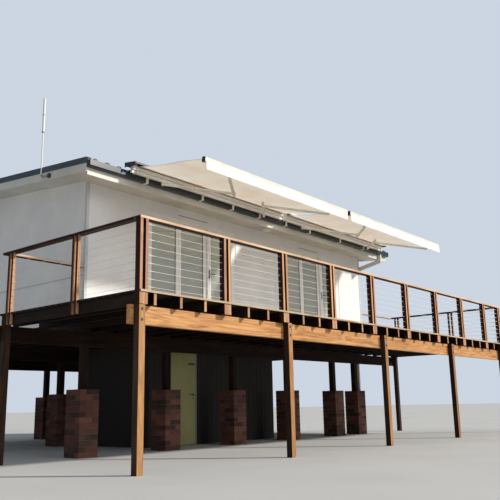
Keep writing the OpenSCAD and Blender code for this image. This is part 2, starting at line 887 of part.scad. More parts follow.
// The jambs, the head and the lower halves of the hinges with their pins
module store_door_frame() {
    left = leaf_x0 - leaf_gap;
    right = leaf_x0 + leaf_w + leaf_gap;
    top = leaf_top + leaf_gap;
    stop_y = store_y0 + leaf_t + leaf_gap;
    color(metal_white) on_site() {
        box([left - frame_w, left], [store_y0, store_y0 + store_wall_t], [0, top]);
        box([right, right + frame_w], [store_y0, store_y0 + store_wall_t], [0, top]);
        box([left - frame_w, right + frame_w], [store_y0, store_y0 + store_wall_t], [top, top + frame_w / 2]);
        for (x = [left, right - stop_w])
            box([x, x + stop_w], [stop_y, store_y0 + store_wall_t], [0, top]);
        for (z = hinge_zs) {
            box([hinge_x - flap_w, hinge_x], [store_y0 - flap_t, store_y0], [z, z + knuckle_h]);
            translate([hinge_x, hinge_y, z]) cylinder(r = barrel_r, h = knuckle_h, $fn = facets);
            translate([hinge_x, hinge_y, z]) cylinder(r = pin_r, h = 2 * knuckle_h + 1, $fn = facets);
        }
    }
}

// The leaf, the upper halves of its hinges and a lever handle on both faces
module store_door() {
    handle_x = leaf_x0 + leaf_w - 65;
    handle_z = leaf_floor_gap + leaf_h * 0.52;
    handle_r = 9;
    handle_reach = 45;
    lever = 110;
    lever_t = 15;
    color(door_cream) on_site() {
        box([leaf_x0, leaf_x0 + leaf_w], [store_y0, store_y0 + leaf_t], [leaf_floor_gap, leaf_top]);
        for (z = hinge_zs) difference() {
            union() {
                box(
                    [hinge_x, leaf_x0 + flap_w], [store_y0 - flap_t, store_y0],
                    [z + knuckle_h + 1, z + 2 * knuckle_h + 1]
                );
                translate([hinge_x, hinge_y, z + knuckle_h + 1])
                    cylinder(r = barrel_r, h = knuckle_h, $fn = facets);
            }
            translate([hinge_x, hinge_y, z]) cylinder(r = pin_r + 0.3, h = 3 * knuckle_h, $fn = facets);
        }
        translate([handle_x, store_y0 - handle_reach, handle_z]) rotate([-90, 0, 0])
            cylinder(r = handle_r, h = leaf_t + 2 * handle_reach, $fn = facets);
        for (y = [store_y0 - handle_reach, store_y0 + leaf_t + handle_reach - lever_t])
            box(
                [handle_x - lever, handle_x + handle_r], [y, y + lever_t],
                [handle_z - handle_r, handle_z + handle_r]
            );
    }
}

// The place and slope of an awning's arm plane, at the middle of the line of its shoulder pivots
module arm_plane(awning) {
    translate([awning_x0s[awning] + awning_w / 2, shoulder_y, shoulder_z])
        rotate([arm_pitch, 0, 0]) children();
}

// The end of a member of the given length that leaves straight ahead by the angle toward +x
function member_end(start, angle, length) = [start[0] + length * sin(angle), start[1] - length * cos(angle)];

module arm_profile(a, b, w) {
    hull() {
        translate(a) circle(d = w, $fn = facets);
        translate(b) circle(d = w, $fn = facets);
    }
}

// An upper arm turns on the shoulder pin and holds the elbow pin, which reaches down to the forearm
module upper_arm(side) {
    shoulder = [side * shoulder_x, 0];
    elbow = member_end(shoulder, -side * arm_angle, arm_length);
    difference() {
        translate([0, 0, -arm_t / 2]) linear_extrude(arm_t) arm_profile(shoulder, elbow, arm_w);
        translate([shoulder[0], 0, -arm_t]) cylinder(r = pivot_r + seat, h = 2 * arm_t, $fn = facets);
    }
    translate([elbow[0], elbow[1], -forearm_drop - arm_t / 2])
        cylinder(r = pivot_r, h = forearm_drop, $fn = facets);
}

module forearm(side) {
    shoulder = [side * shoulder_x, 0];
    elbow = member_end(shoulder, -side * arm_angle, arm_length);
    wrist = [side * shoulder_x, -arm_reach];
    translate([0, 0, -forearm_drop - arm_t / 2]) difference() {
        linear_extrude(arm_t) arm_profile(elbow, wrist, arm_w * 0.9);
        for (p = [elbow, wrist]) translate([p[0], p[1], -1])
            cylinder(r = pivot_r + seat, h = arm_t + 2, $fn = facets);
    }
}

module left_awning_left_upper_arm() {
    color(metal_white) on_site() arm_plane(0) upper_arm(-1);
}

module left_awning_right_upper_arm() {
    color(metal_white) on_site() arm_plane(0) upper_arm(1);
}

module left_awning_left_forearm() {
    color(metal_white) on_site() arm_plane(0) forearm(-1);
}

module left_awning_right_forearm() {
    color(metal_white) on_site() arm_plane(0) forearm(1);
}

module right_awning_left_upper_arm() {
    color(metal_white) on_site() arm_plane(1) upper_arm(-1);
}

module right_awning_right_upper_arm() {
    color(metal_white) on_site() arm_plane(1) upper_arm(1);
}

module right_awning_left_forearm() {
    color(metal_white) on_site() arm_plane(1) forearm(-1);
}

module right_awning_right_forearm() {
    color(metal_white) on_site() arm_plane(1) forearm(1);
}

// The front bar's section, its corners cut off, shrunk by the inset
module bar_section(inset) {
    d = front_bar_d - inset;
    h = front_bar_h - inset;
    c = inset + bar_corner;
    polygon([
        [c, inset], [d - bar_corner, inset], [d, c], [d, h - bar_corner],
        [d - bar_corner, h], [c, h], [inset, h - bar_corner], [inset, c]
    ]);
}

// The front bar is a capped hollow section over the wrists, with a pin through each forearm's end
module front_bar() {
    lug_base = -forearm_drop + arm_t / 2 + moving_gap;
    translate([-awning_w / 2, -arm_reach - front_bar_d / 2, bar_z]) rotate([90, 0, 90]) {
        linear_extrude(awning_w) difference() {
            bar_section(0);
            bar_section(bar_wall);
        }
        for (x = [0, awning_w - bar_wall]) translate([0, 0, x]) linear_extrude(bar_wall) bar_section(0);
    }
    for (side = [-1, 1]) translate([side * shoulder_x, -arm_reach, 0]) {
        translate([-arm_w / 2, -arm_w / 2, lug_base]) cube([arm_w, arm_w, bar_z - lug_base]);
        translate([0, 0, -forearm_drop - arm_t / 2])
            cylinder(r = pivot_r, h = arm_t + moving_gap, $fn = facets);
    }
}

module left_awning_front_bar() {
    color(metal_white) on_site() arm_plane(0) front_bar();
}

module right_awning_front_bar() {
    color(metal_white) on_site() arm_plane(1) front_bar();
}

valance_lap = 30;

// The valance hangs plumb from the front face of the bar
module valance(awning) {
    bar_front = arm_reach + front_bar_d / 2;
    bar_y = shoulder_y - bar_front * cos(arm_pitch) - bar_z * sin(arm_pitch);
    bar_base = shoulder_z - bar_front * sin(arm_pitch) + bar_z * cos(arm_pitch);
    face_y = bar_y - valance_lap * tan(arm_pitch) - seat;
    x0 = awning_x0s[awning];
    box(
        [x0 + 10, x0 + awning_w - 10],
        [face_y - fabric_t, face_y],
        [bar_base + valance_lap - valance_h, bar_base + valance_lap]
    );
}

module left_awning_valance() {
    color(fabric_cream) on_site() valance(0);
}

module right_awning_valance() {
    color(fabric_cream) on_site() valance(1);
}

// The cloth leaves the roller at its top and ends at the back of the front bar
fabric_start = [roller_y, roller_z];
bar_back = arm_reach - front_bar_d / 2;
fabric_lift = bar_z + front_bar_h - 20;
fabric_end = [
    shoulder_y - bar_back * cos(arm_pitch) - fabric_lift * sin(arm_pitch),
    shoulder_z - bar_back * sin(arm_pitch) + fabric_lift * cos(arm_pitch)
];

module awning_fabric(awning) {
    lift = roller_r + seat;
    fall = atan2(fabric_start[1] + lift - fabric_end[1], fabric_start[0] - fabric_end[0]);
    tangent = [fabric_start[0] - lift * sin(fall), fabric_start[1] + lift * cos(fall)];
    x0 = awning_x0s[awning];
    side_prism([x0 + 40, x0 + awning_w - 40], [
        tangent, [tangent[0] - fabric_t * sin(fall), tangent[1] + fabric_t * cos(fall)],
        [fabric_end[0] + seat, fabric_end[1] + fabric_t], [fabric_end[0] + seat, fabric_end[1]]
    ]);
}

module left_awning_fabric() {
    color(fabric_cream) on_site() awning_fabric(0);
}

module right_awning_fabric() {
    color(fabric_cream) on_site() awning_fabric(1);
}

// The ends of an awning's hood, which reaches further over the outer end than over the inner one
function hood_ends(awning) = [
    awning_x0s[awning] - (awning == 0 ? hood_end : seat),
    awning_x0s[awning] + awning_w + (awning == 0 ? seat : hood_end)
];

module end_plate(x, thickness) {
    y0 = roller_y - end_plate_r;
    y1 = roller_y + end_plate_r;
    side_prism([x, x + thickness], [
        [y0, torsion_z], [y1, torsion_z], [y1, hood_z(y1) - hood_t - seat], [y0, hood_z(y0) - hood_t - seat]
    ]);
}

// Torsion bar, roller, end plates and gear box of one awning, with the forks of its shoulder pivots
module awning_roller(awning) {
    x0 = awning_x0s[awning];
    x1 = x0 + awning_w;
    plate_t = 10;
    gear_w = 70;
    gear_side = 76;
    ends = hood_ends(awning);
    box(
        [ends[0] + plate_t * 2, ends[1] - plate_t * 2],
        [shoulder_y - torsion_side / 2, shoulder_y + torsion_side / 2],
        [torsion_z, torsion_z + torsion_side]
    );
    translate([x0, roller_y, roller_z]) rotate([0, 90, 0]) cylinder(r = roller_r, h = awning_w, $fn = facets);
    end_plate(x0, plate_t);
    end_plate(x1 - plate_t, plate_t);
    gear_x = awning == 0 ? x0 - gear_w : x1 - 1;
    box(
        [gear_x, gear_x + gear_w + 1], [roller_y - gear_side / 2, roller_y + gear_side / 2],
        [roller_z - gear_side / 2, roller_z + gear_side / 2]
    );
    lug_base = arm_t / 2 + moving_gap;
    lug_top = torsion_z + torsion_side / 2 - shoulder_z;
    lug_d = 30;
    head_h = 12;
    pin_base = -arm_t / 2 - head_h;
    arm_plane(awning) for (side = [-1, 1]) translate([side * shoulder_x, 0, 0]) {
        translate([-arm_w / 2, -lug_d / 2, lug_base]) cube([arm_w, lug_d, lug_top - lug_base]);
        translate([0, 0, pin_base]) cylinder(r = pivot_r, h = lug_base + 1 - pin_base, $fn = facets);
        translate([0, 0, pin_base]) cylinder(r = pivot_r * 1.8, h = head_h - seat, $fn = facets);
    }
}

module awning_rollers() {
    color(metal_white) on_site() for (i = [0, 1]) awning_roller(i);
}

// A folded sheet over the roller, from a lip over the cloth back to the edge of the roof, capped at its ends
module awning_hood(awning) {
    ends = hood_ends(awning);
    lip_h = 32;
    cap_h = 66;
    back_h = 60;
    side_prism(ends, [
        [hood_front, hood_z(hood_front)], [hood_front, hood_z(hood_front) - lip_h],
        [hood_front + hood_t, hood_z(hood_front) - lip_h],
        [hood_front + hood_t, hood_z(hood_front + hood_t) - hood_t],
        [hood_back - hood_t, hood_z(hood_back - hood_t) - hood_t],
        [hood_back - hood_t, hood_z(hood_back) - back_h], [hood_back, hood_z(hood_back) - back_h],
        [hood_back, hood_z(hood_back)]
    ]);
    x = awning == 0 ? ends[0] : ends[1] - hood_t;
    side_prism([x, x + hood_t], [
        [hood_front, hood_z(hood_front)], [hood_front, hood_z(hood_front) - cap_h],
        [hood_back, hood_z(hood_back) - cap_h - 20], [hood_back, hood_z(hood_back)]
    ]);
}

module awning_hoods() {
    color(roof_dark) on_site() for (i = [0, 1]) awning_hood(i);
}

// Distances of the brackets from the house's left end
bracket_xs = [720, 2110, 2980, 3830, 4740, 5640, 6920, 8010];

// Each bracket hangs in front of the gutter and bolts back to the fascia below it
module awning_brackets() {
    foot_z = gutter_top - gutter_h - bracket_t - moving_gap;
    face_y = eave_y0 - gutter_w - moving_gap;
    color(metal_white) on_site()
        for (d = bracket_xs) {
            x = house_x0 + d;
            box([x, x + bracket_w], [face_y - bracket_t, face_y], [foot_z, torsion_z + torsion_side]);
            box(
                [x, x + bracket_w], [shoulder_y + torsion_side / 2, face_y - bracket_t],
                [torsion_z, torsion_z + torsion_side]
            );
            box([x, x + bracket_w], [face_y - bracket_t, eave_y0], [foot_z, foot_z + bracket_t]);
        }
}

stilts();
front_bearer();
rear_bearer();
house_bearers();
deck_joists();
deck_boards();
rail_posts();
side_rail_posts();
handrails();
front_rail_wires();
side_rail_wires();
front_brick_piers();
rear_brick_piers();
pier_posts();
house_floor();
front_wall();
side_walls();
back_wall();
cover_strips();
ceiling();
roof_trusses();
front_roof_sheet();
back_roof_sheet();
roof_flashings();
eave_fascias();
barge_boards();
soffits();
gutters();
downpipes();
antenna_mast();
door_and_window_frames();
door_and_window_glass();
curtains();
store_wall_left_of_door();
store_wall_right_of_door();
store_wall_over_door();
store_walls();
store_door_frame();
store_door();
awning_brackets();
awning_rollers();
awning_hoods();
left_awning_left_upper_arm();
left_awning_left_forearm();
left_awning_right_upper_arm();
left_awning_right_forearm();
left_awning_front_bar();
left_awning_valance();
left_awning_fabric();
right_awning_left_upper_arm();
right_awning_left_forearm();
right_awning_right_upper_arm();
right_awning_right_forearm();
right_awning_front_bar();
right_awning_valance();
right_awning_fabric();
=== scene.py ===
import math
import random

import bmesh
import bpy
from mathutils import Matrix, Vector, noise


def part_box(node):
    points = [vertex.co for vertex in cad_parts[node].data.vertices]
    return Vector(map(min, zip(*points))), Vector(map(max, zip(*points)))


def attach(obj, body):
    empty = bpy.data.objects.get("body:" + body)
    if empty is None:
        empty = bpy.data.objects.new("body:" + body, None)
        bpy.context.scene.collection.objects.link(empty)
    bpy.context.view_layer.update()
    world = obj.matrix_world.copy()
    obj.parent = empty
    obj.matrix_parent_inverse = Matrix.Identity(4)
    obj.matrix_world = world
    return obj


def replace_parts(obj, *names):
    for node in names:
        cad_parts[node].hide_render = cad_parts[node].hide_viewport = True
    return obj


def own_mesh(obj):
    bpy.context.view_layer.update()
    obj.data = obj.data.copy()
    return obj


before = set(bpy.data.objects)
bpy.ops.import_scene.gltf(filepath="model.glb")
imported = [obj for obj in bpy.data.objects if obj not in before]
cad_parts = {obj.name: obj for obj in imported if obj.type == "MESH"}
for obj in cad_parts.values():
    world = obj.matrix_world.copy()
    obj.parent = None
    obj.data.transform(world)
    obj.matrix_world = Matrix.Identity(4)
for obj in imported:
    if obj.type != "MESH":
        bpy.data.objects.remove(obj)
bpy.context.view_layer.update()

# Stilts
# Seven posts of oiled hardwood, 100 mm square, planed and eased along their edges.
# Each is one sawn length, so its grain runs upward and its tone is its own.


def colour(code):
    """A paint or stain by its screen code, turned into linear light as Blender wants it."""
    parts = [int(code[i:i + 2], 16) / 255 for i in (1, 3, 5)]
    return [p / 12.92 if p <= 0.04045 else ((p + 0.055) / 1.055) ** 2.4 for p in parts] + [1.0]


class Finish:
    """One finish of the house: a principled shader, and short calls that add its pattern nodes."""

    def __init__(self, name, base="#808080", roughness=0.5, **sockets):
        self.material = bpy.data.materials.new(name)
        self.material.use_nodes = True
        self.tree = self.material.node_tree
        self.shader = self.tree.nodes["Principled BSDF"]
        self.set(**{"Base Color": colour(base), "Roughness": roughness}, **sockets)

    def set(self, **sockets):
        for name, value in sockets.items():
            self.feed(self.shader.inputs[name.replace("_", " ")], value)
        return self

    def feed(self, socket, value):
        if isinstance(value, bpy.types.NodeSocket):
            self.tree.links.new(value, socket)
        else:
            socket.default_value = value

    def node(self, kind, inputs, **settings):
        made = self.tree.nodes.new("ShaderNode" + kind)
        for name, value in settings.items():
            setattr(made, name, value)
        for name, value in inputs.items():
            self.feed(made.inputs[name], value)
        return made

    def show(self, node, output):
        """Makes the surface from another shader node."""
        self.feed(self.tree.nodes["Material Output"].inputs["Surface"], node.outputs[output])

    def where(self, scale=(1, 1, 1), attribute=None):
        """The place on the piece, in metres times the scale: its own, or one written along each length."""
        if attribute:
            source = self.node("Attribute", {}, attribute_name=attribute).outputs["Vector"]
        else:
            source = self.node("TexCoord", {}).outputs["Object"]
        return self.node("Mapping", {"Vector": source, "Scale": scale}).outputs["Vector"]

    def cloud(self, scale, detail=4.0, rough=0.5, twist=0.0, attribute=None):
        values = {"Vector": self.where(scale, attribute), "Scale": 1.0, "Detail": detail,
                  "Roughness": rough, "Distortion": twist}
        return self.node("TexNoise", values).outputs["Fac"]

    def tone(self):
        return self.node("Attribute", {}, attribute_name="tone").outputs["Fac"]

    def ramp(self, share, *stops):
        made = self.node("ValToRGB", {"Fac": share})
        band = made.color_ramp
        while len(band.elements) < len(stops):
            band.elements.new(0.5)
        for element, (place, code) in zip(band.elements, stops):
            element.position = place
            element.color = colour(code)
        return made.outputs["Color"]

    def mix(self, share, one, two):
        """Two colours mixed by a share. The node's names repeat, so its sockets go by number."""
        made = self.node("Mix", {}, data_type="RGBA")
        for socket, value in ((0, share), (6, one), (7, two)):
            self.feed(made.inputs[socket], colour(value) if isinstance(value, str) else value)
        return made.outputs[2]

    def spread(self, value, low, high, start=0.0, end=1.0):
        """The value from start to end, spread evenly from low to high."""
        ends = {"Value": value, "From Min": start, "From Max": end, "To Min": low, "To Max": high}
        return self.node("MapRange", ends).outputs["Result"]

    def raise_by(self, height, depth, strength=1.0):
        """Adds relief of the given depth in metres to what the shader already has."""
        values = {"Height": height, "Distance": depth, "Strength": strength}
        links = self.shader.inputs["Normal"].links
        if links:
            values["Normal"] = links[0].from_socket
        self.feed(self.shader.inputs["Normal"], self.node("Bump", values).outputs["Normal"])
        return self


def wood(name, dark, middle, pale, rough=(0.42, 0.68), age=0.25, shine=0.3):
    """Sawn timber: broad figure, fine fibres and drying checks along each length, and some grey
    where it weathers."""
    f = Finish(name, Specular_IOR_Level=shine)
    figure = f.cloud((0.9, 12, 12), rough=0.6, twist=2.4, attribute="grain")
    fibres = f.cloud((3.2, 240, 240), detail=5, rough=0.62, attribute="grain")
    checks = f.cloud((1.1, 95, 95), detail=2, twist=0.4, attribute="grain")
    base = f.ramp(figure, (0.28, dark), (0.5, middle), (0.72, pale))
    base = f.mix(f.spread(fibres, 0.0, 0.55, start=0.35, end=0.75), base, dark)
    crack = f.spread(checks, 1.0, 0.0, start=0.22, end=0.31)
    base = f.mix(f.spread(crack, 0.0, 0.65), base, "#1d120b")
    grey = f.cloud((0.9, 3.5, 3.5), rough=0.6, twist=0.5, attribute="grain")
    base = f.mix(f.spread(grey, 0.0, age, start=0.5, end=0.75), base, "#9a8d80")
    lift = f.spread(f.tone(), 0.72, 1.22)
    hue = f.spread(f.tone(), 0.492, 0.508)
    toned = f.node("HueSaturation", {"Color": base, "Value": lift, "Hue": hue})
    f.set(**{"Base Color": toned.outputs["Color"],
             "Roughness": f.spread(fibres, *rough, start=0.3, end=0.7)})
    f.raise_by(fibres, depth=0.0006, strength=0.5).raise_by(crack, depth=-0.0012, strength=0.6)
    return f.material


def piece(name, shape, finishes, body="house", smooth=False):
    """Ends a bmesh as a piece that rides on a body."""
    mesh = bpy.data.meshes.new(name)
    bmesh.ops.recalc_face_normals(shape, faces=shape.faces)
    shape.to_mesh(mesh)
    shape.free()
    if smooth:
        mesh.shade_smooth()
    for finish in finishes if isinstance(finishes, list) else [finishes]:
        mesh.materials.append(finish)
    made = bpy.data.objects.new(name, mesh)
    bpy.context.scene.collection.objects.link(made)
    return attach(made, body)


def cad_copy(*nodes):
    """The nodes' solids as one clean bmesh, its flat faces whole again."""
    weld, flat = 0.00005, math.radians(1)
    shape = bmesh.new()
    for node in nodes:
        shape.from_mesh(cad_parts[node].data)
    bmesh.ops.remove_doubles(shape, verts=shape.verts, dist=weld)
    bmesh.ops.dissolve_limit(shape, angle_limit=flat, verts=shape.verts, edges=shape.edges)
    return shape


def islands(shape):
    """The loose solids of a bmesh, as lists of vertices, in the order of their first vertices."""
    seen, found = set(), []
    for first in shape.verts:
        if first in seen:
            continue
        seen.add(first)
        group, waiting = [], [first]
        while waiting:
            vert = waiting.pop()
            group.append(vert)
            for edge in vert.link_edges:
                other = edge.other_vert(vert)
                if other not in seen:
                    seen.add(other)
                    waiting.append(other)
        found.append(group)
    return found


def extent(verts):
    """The lowest and highest corner that the vertices reach."""
    low = Vector([min(v.co[i] for v in verts) for i in range(3)])
    return low, Vector([max(v.co[i] for v in verts) for i in range(3)])


def ease(shape, width, segments=2, shortest=0.012):
    """Takes the sharp corner off every long edge."""
    sharp_from = 0.5
    sharp = [edge for edge in shape.edges
             if len(edge.link_faces) == 2 and edge.calc_length() > shortest
             and edge.calc_face_angle(0.0) > sharp_from]
    bmesh.ops.bevel(shape, geom=sharp, offset=width, offset_type="OFFSET", segments=segments,
                    profile=0.5, affect="EDGES", clamp_overlap=True, material=-1)


def mark_lengths(shape, seed):
    """Writes, for each loose solid, a place that runs along its longest side, and a tone of its own."""
    draw = random.Random(seed)
    far, aside = 40, 9
    grain = shape.verts.layers.float_vector.new("grain")
    tone = shape.verts.layers.float.new("tone")
    for group in islands(shape):
        low, high = extent(group)
        size = high - low
        along = max(range(3), key=lambda i: size[i])
        shift = Vector((draw.uniform(0, far), draw.uniform(0, aside), draw.uniform(0, aside)))
        shade = draw.random()
        for vert in group:
            place = vert.co - low
            across = [place[i] for i in range(3) if i != along]
            vert[grain] = Vector((place[along], *across)) + shift
            vert[tone] = shade


def timbers(name, nodes, finish, seed, width=0.003, segments=2, front=None, reach=math.inf):
    """The nodes' solids again as separate lengths of wood, with eased edges and a grain along each.
    Faces that look to the front or up, up to reach behind the front, can take a second
    finish that paints sunlight on them, while the first finish paints shade on the rest."""
    turned = 0.5
    shape = cad_copy(*nodes)
    ease(shape, width, segments)
    mark_lengths(shape, seed)
    made = piece(name, shape, [finish, front] if front else finish)
    if front:
        # Faces turned to the sun take the painted sunlight finish; all others keep the painted shade
        for face in made.data.polygons:
            sunny = face.normal.y < -turned or face.normal.z > turned
            if sunny and face.center.y < deck_corner.y + reach:
                face.material_index = 1
    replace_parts(made, *nodes)


deck_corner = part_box("stilts")[0]
front_row = 0.3
# The front row's faces to the front or up are painted sunlit; every other face of the stilts is painted dark
# as shade
stilt_painted_shade = wood("posts in painted shade", "#1d120b", "#332014", "#4a3120", age=0.08, shine=0.15)
stilt_painted_sun = wood("sunlit posts", "#7c5432", "#a87648", "#c2935f", age=0.12)
timbers("posts_under_deck", ["stilts"], stilt_painted_shade, seed=3, width=0.004, front=stilt_painted_sun, reach=front_row)

# Bearers
# Two long hardwood beams, one bolted behind the front stilts and one in front of the piers,
# and two more under the house. The front one faces the sun and has a lively figure.

bearer_wood = wood("figured hardwood", "#7e4c2a", "#b87f4e", "#d3a26f", rough=(0.4, 0.62), age=0.1)
# The timber behind the front bearer, under and inside the house, is a very dark copy of the hardwood as
# painted shade
shaded_wood = wood("sawn hardwood in painted shade", "#170e0a", "#291a12", "#3c291c", rough=(0.6, 0.85), age=0.05,
                   shine=0.12)
timbers("front_beam", ["front_bearer"], bearer_wood, seed=5)
timbers("beams_behind", ["rear_bearer", "house_bearers"], shaded_wood, seed=7)


def solids_of(node):
    """The corners of each separate solid in a node, from left to right."""
    shape = cad_copy(node)
    boxes = [extent(group) for group in islands(shape)]
    shape.free()
    return sorted(boxes, key=lambda box: tuple(round(x, 3) for x in box[0]))


def steel(name, base, rough, scale=(40, 40, 40), metallic=1.0):
    """Bare metal, duller where it is worn. With metallic at 0 it is a hard coat of one colour."""
    f = Finish(name, base, rough, Metallic=metallic)
    wear = f.cloud(scale, detail=5, rough=0.6)
    worn = "#6c6a66" if metallic else base
    return f.set(**{"Base Color": f.ramp(wear, (0.3, base), (0.75, worn)),
                    "Roughness": f.spread(wear, rough * 0.75, min(1.0, rough * 1.5))}).material


def stud(shape, place, axis, radius, height, sides=12, taper=1.0):
    """A disc or cone that stands on a place and points along an axis."""
    axis = Vector(axis).normalized()
    upright = axis.to_track_quat("Z", "Y").to_matrix().to_4x4()
    middle = Matrix.Translation(Vector(place) + axis * height / 2)
    bmesh.ops.create_cone(shape, cap_ends=True, segments=sides, radius1=radius, radius2=radius * taper,
                          depth=height, matrix=middle @ upright)


def bolts(name, places, axis, radius, finish):
    """Hexagon heads on round washers, all pointing the same way."""
    washer_r, washer_t, head_h, chamfer = radius * 1.9, radius * 0.25, radius * 0.75, 0.9
    shape = bmesh.new()
    for place in places:
        stud(shape, place, axis, washer_r, washer_t)
        stud(shape, Vector(place) + Vector(axis) * washer_t, axis, radius, head_h, sides=6, taper=chamfer)
    piece(name, shape, finish)


zinc = steel("weathered zinc", "#5f5d5c", 0.6)
bearer_low, bearer_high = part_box("front_bearer")
bearer_middle = (bearer_low.z + bearer_high.z) / 2
stilt_w, bolt_rises = 0.1, (-0.07, 0.06)
front_stilts = [low for low, high in solids_of("stilts") if low.y < deck_corner.y + stilt_w]
bolts("bearer_bolts",
      [(low.x + stilt_w / 2, low.y, bearer_middle + rise) for low in front_stilts for rise in bolt_rises],
      axis=(0, -1, 0), radius=0.011, finish=zinc)

# Joists and deck boards
# Joists stand on edge on the bearers, 450 mm apart, and show their ends under the first board.
# The boards lie along the house with a gap for water, and two screws hold each on every joist.

# Joist sides and the boards' undersides and backs are painted near black as shade; the front-row joist ends
# are pale end grain made paler still as painted sunlight
joist_painted_shade = wood("joist sides and board undersides in painted shade", "#110a07", "#1f130d", "#302017", age=0.04, shine=0.12)
joist_ends_painted_sun = wood("pale joist end grain in painted sunlight", "#9a7152", "#bd9069", "#d2a983", age=0.3)
timbers("joists_under_deck", ["deck_joists"], joist_painted_shade, seed=11, width=0.002, segments=1,
        front=joist_ends_painted_sun, reach=front_row)
weathered_deck = wood("weathered decking", "#8c7560", "#b19a80", "#c9b59a", rough=(0.6, 0.82), age=0.5)
timbers("decking", ["deck_boards"], joist_painted_shade, seed=13, front=weathered_deck)

shortest_joist, full_board, lap = 1, 0.1, 0.01
screw_r, screw_h, sunk, screw_inset = 0.0042, 0.0012, 0.0004, 0.028
joists = [(low, high) for low, high in solids_of("deck_joists") if high.y - low.y > shortest_joist]
boards = sorted(solids_of("deck_boards"), key=lambda box: box[0].y)
screws = bmesh.new()
for low, high in boards:
    for joist_low, joist_high in joists:
        x = (joist_low.x + joist_high.x) / 2
        if low.x < x < high.x and joist_high.y > high.y - lap and high.y - low.y > full_board:
            for y in (low.y + screw_inset, high.y - screw_inset):
                if joist_low.y < y:
                    stud(screws, (x, y, high.z - sunk), (0, 0, 1), screw_r, screw_h, sides=8)
piece("deck_screws", screws, zinc)

# Railing
# Pairs of planks are bolted to both sides of every third joist and carry a flat handrail.
# Nine steel wires run through bored holes, and turned fittings at their ends pull them tight.

# Planks and handrail are painted dark as shade on their sides and backs, and lit as painted sunlight on faces
# to the front or up
plank_painted_shade = wood("planks in painted shade", "#1f0d08", "#351810", "#4c291b", rough=(0.45, 0.7), age=0.06, shine=0.15)
plank_painted_sun = wood("plank edges in painted sunlight", "#9c6d4c", "#c08c66", "#d6a781", rough=(0.45, 0.7))
timbers("railing_posts", ["rail_posts", "side_rail_posts"], plank_painted_shade, seed=17, front=plank_painted_sun)
handrail_painted_sun = wood("weathered handrail in painted sunlight", "#b08668", "#dab896", "#f0d6ba", rough=(0.45, 0.7), age=0.3)
timbers("flat_handrail", ["handrails"], plank_painted_shade, seed=19, width=0.006, segments=3, front=handrail_painted_sun)


def dress(finish, *nodes):
    """Gives CAD nodes their finish."""
    for node in nodes:
        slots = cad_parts[node].data.materials
        slots.clear()
        slots.append(finish)


# The wires and their fittings are a near white that paints the sun's shine on steel
wire_painted_shine = steel("stainless wire with painted shine", "#eceded", 0.35, scale=(900, 900, 900), metallic=0.0)
dress(wire_painted_shine, "front_rail_wires", "side_rail_wires")

# Each fitting is turned in four steps, given as length and radius from its post on
fitting_steps = ((0.014, 0.0075), (0.07, 0.0045), (0.01, 0.006), (0.035, 0.0035))
fittings = bmesh.new()
for node, along, near, far in (("front_rail_wires", 0, 0.1, 0.1), ("side_rail_wires", 1, 0.012, 0.06)):
    axis = Vector((0, 0, 0))
    axis[along] = 1
    for low, high in solids_of(node):
        for start, way in ((low[along] + near, 1), (high[along] - far, -1)):
            place = (low + high) / 2
            place[along] = start
            for length, radius in fitting_steps:
                stud(fittings, place, axis * way, radius, length, sides=10)
                place += axis * way * length
piece("wire_fittings", fittings, wire_painted_shine)

first_joist_low, first_joist_high = joists[0]
joist_middle = (first_joist_low.z + first_joist_high.z) / 2
post_bolt_rises = (-0.04, 0.035)
post_bolts = []
for low, high in solids_of("rail_posts"):
    if low.x > first_joist_low.x:
        post_bolts += [(high.x, (low.y + high.y) / 2, joist_middle + rise) for rise in post_bolt_rises]
bolts("post_bolts", post_bolts, axis=(1, 0, 0), radius=0.008, finish=zinc)

# Piers
# Square brick piers in bands of four bricks round a core, with 10 mm mortar joints.
# A sawn post stands on each, and carries the floor or a bearer.

# Bricks and mortar are darkened overall as painted shade under the house; the pale stains are their own
brick_painted_shade = Finish("fired clay bricks darkened as painted shade", roughness=0.85)
speck = brick_painted_shade.cloud((70, 70, 70), detail=6, rough=0.7)
clay = brick_painted_shade.ramp(brick_painted_shade.tone(), (0.05, "#331c16"), (0.4, "#542e22"), (0.75, "#66392a"),
                       (1.0, "#794834"))
clay = brick_painted_shade.mix(brick_painted_shade.spread(speck, 0.0, 0.5, start=0.45, end=0.8), clay, "#3a211a")
stain = brick_painted_shade.cloud((2.3, 2.3, 1.2), rough=0.6)
clay = brick_painted_shade.mix(brick_painted_shade.spread(stain, 0.0, 0.35, start=0.5, end=0.8), clay, "#6b5d52")
brick_painted_shade.set(**{"Base Color": clay, "Roughness": brick_painted_shade.spread(speck, 0.72, 0.95)})
brick_painted_shade.raise_by(speck, depth=0.0015, strength=0.7)

mortar = Finish("lime mortar darkened as painted shade", roughness=0.95)
sand = mortar.cloud((160, 160, 160), rough=0.6)
mortar.set(**{"Base Color": mortar.ramp(sand, (0.3, "#474139"), (0.7, "#645d54"))})
mortar.raise_by(sand, depth=0.001, strength=0.8)


def block(shape, low, high):
    """A box between two corners. Returns its vertices."""
    low, high = Vector(low), Vector(high)
    place = Matrix.Translation((low + high) / 2) @ Matrix.Diagonal((*(high - low), 1.0))
    return bmesh.ops.create_cube(shape, size=1.0, matrix=place)["verts"]


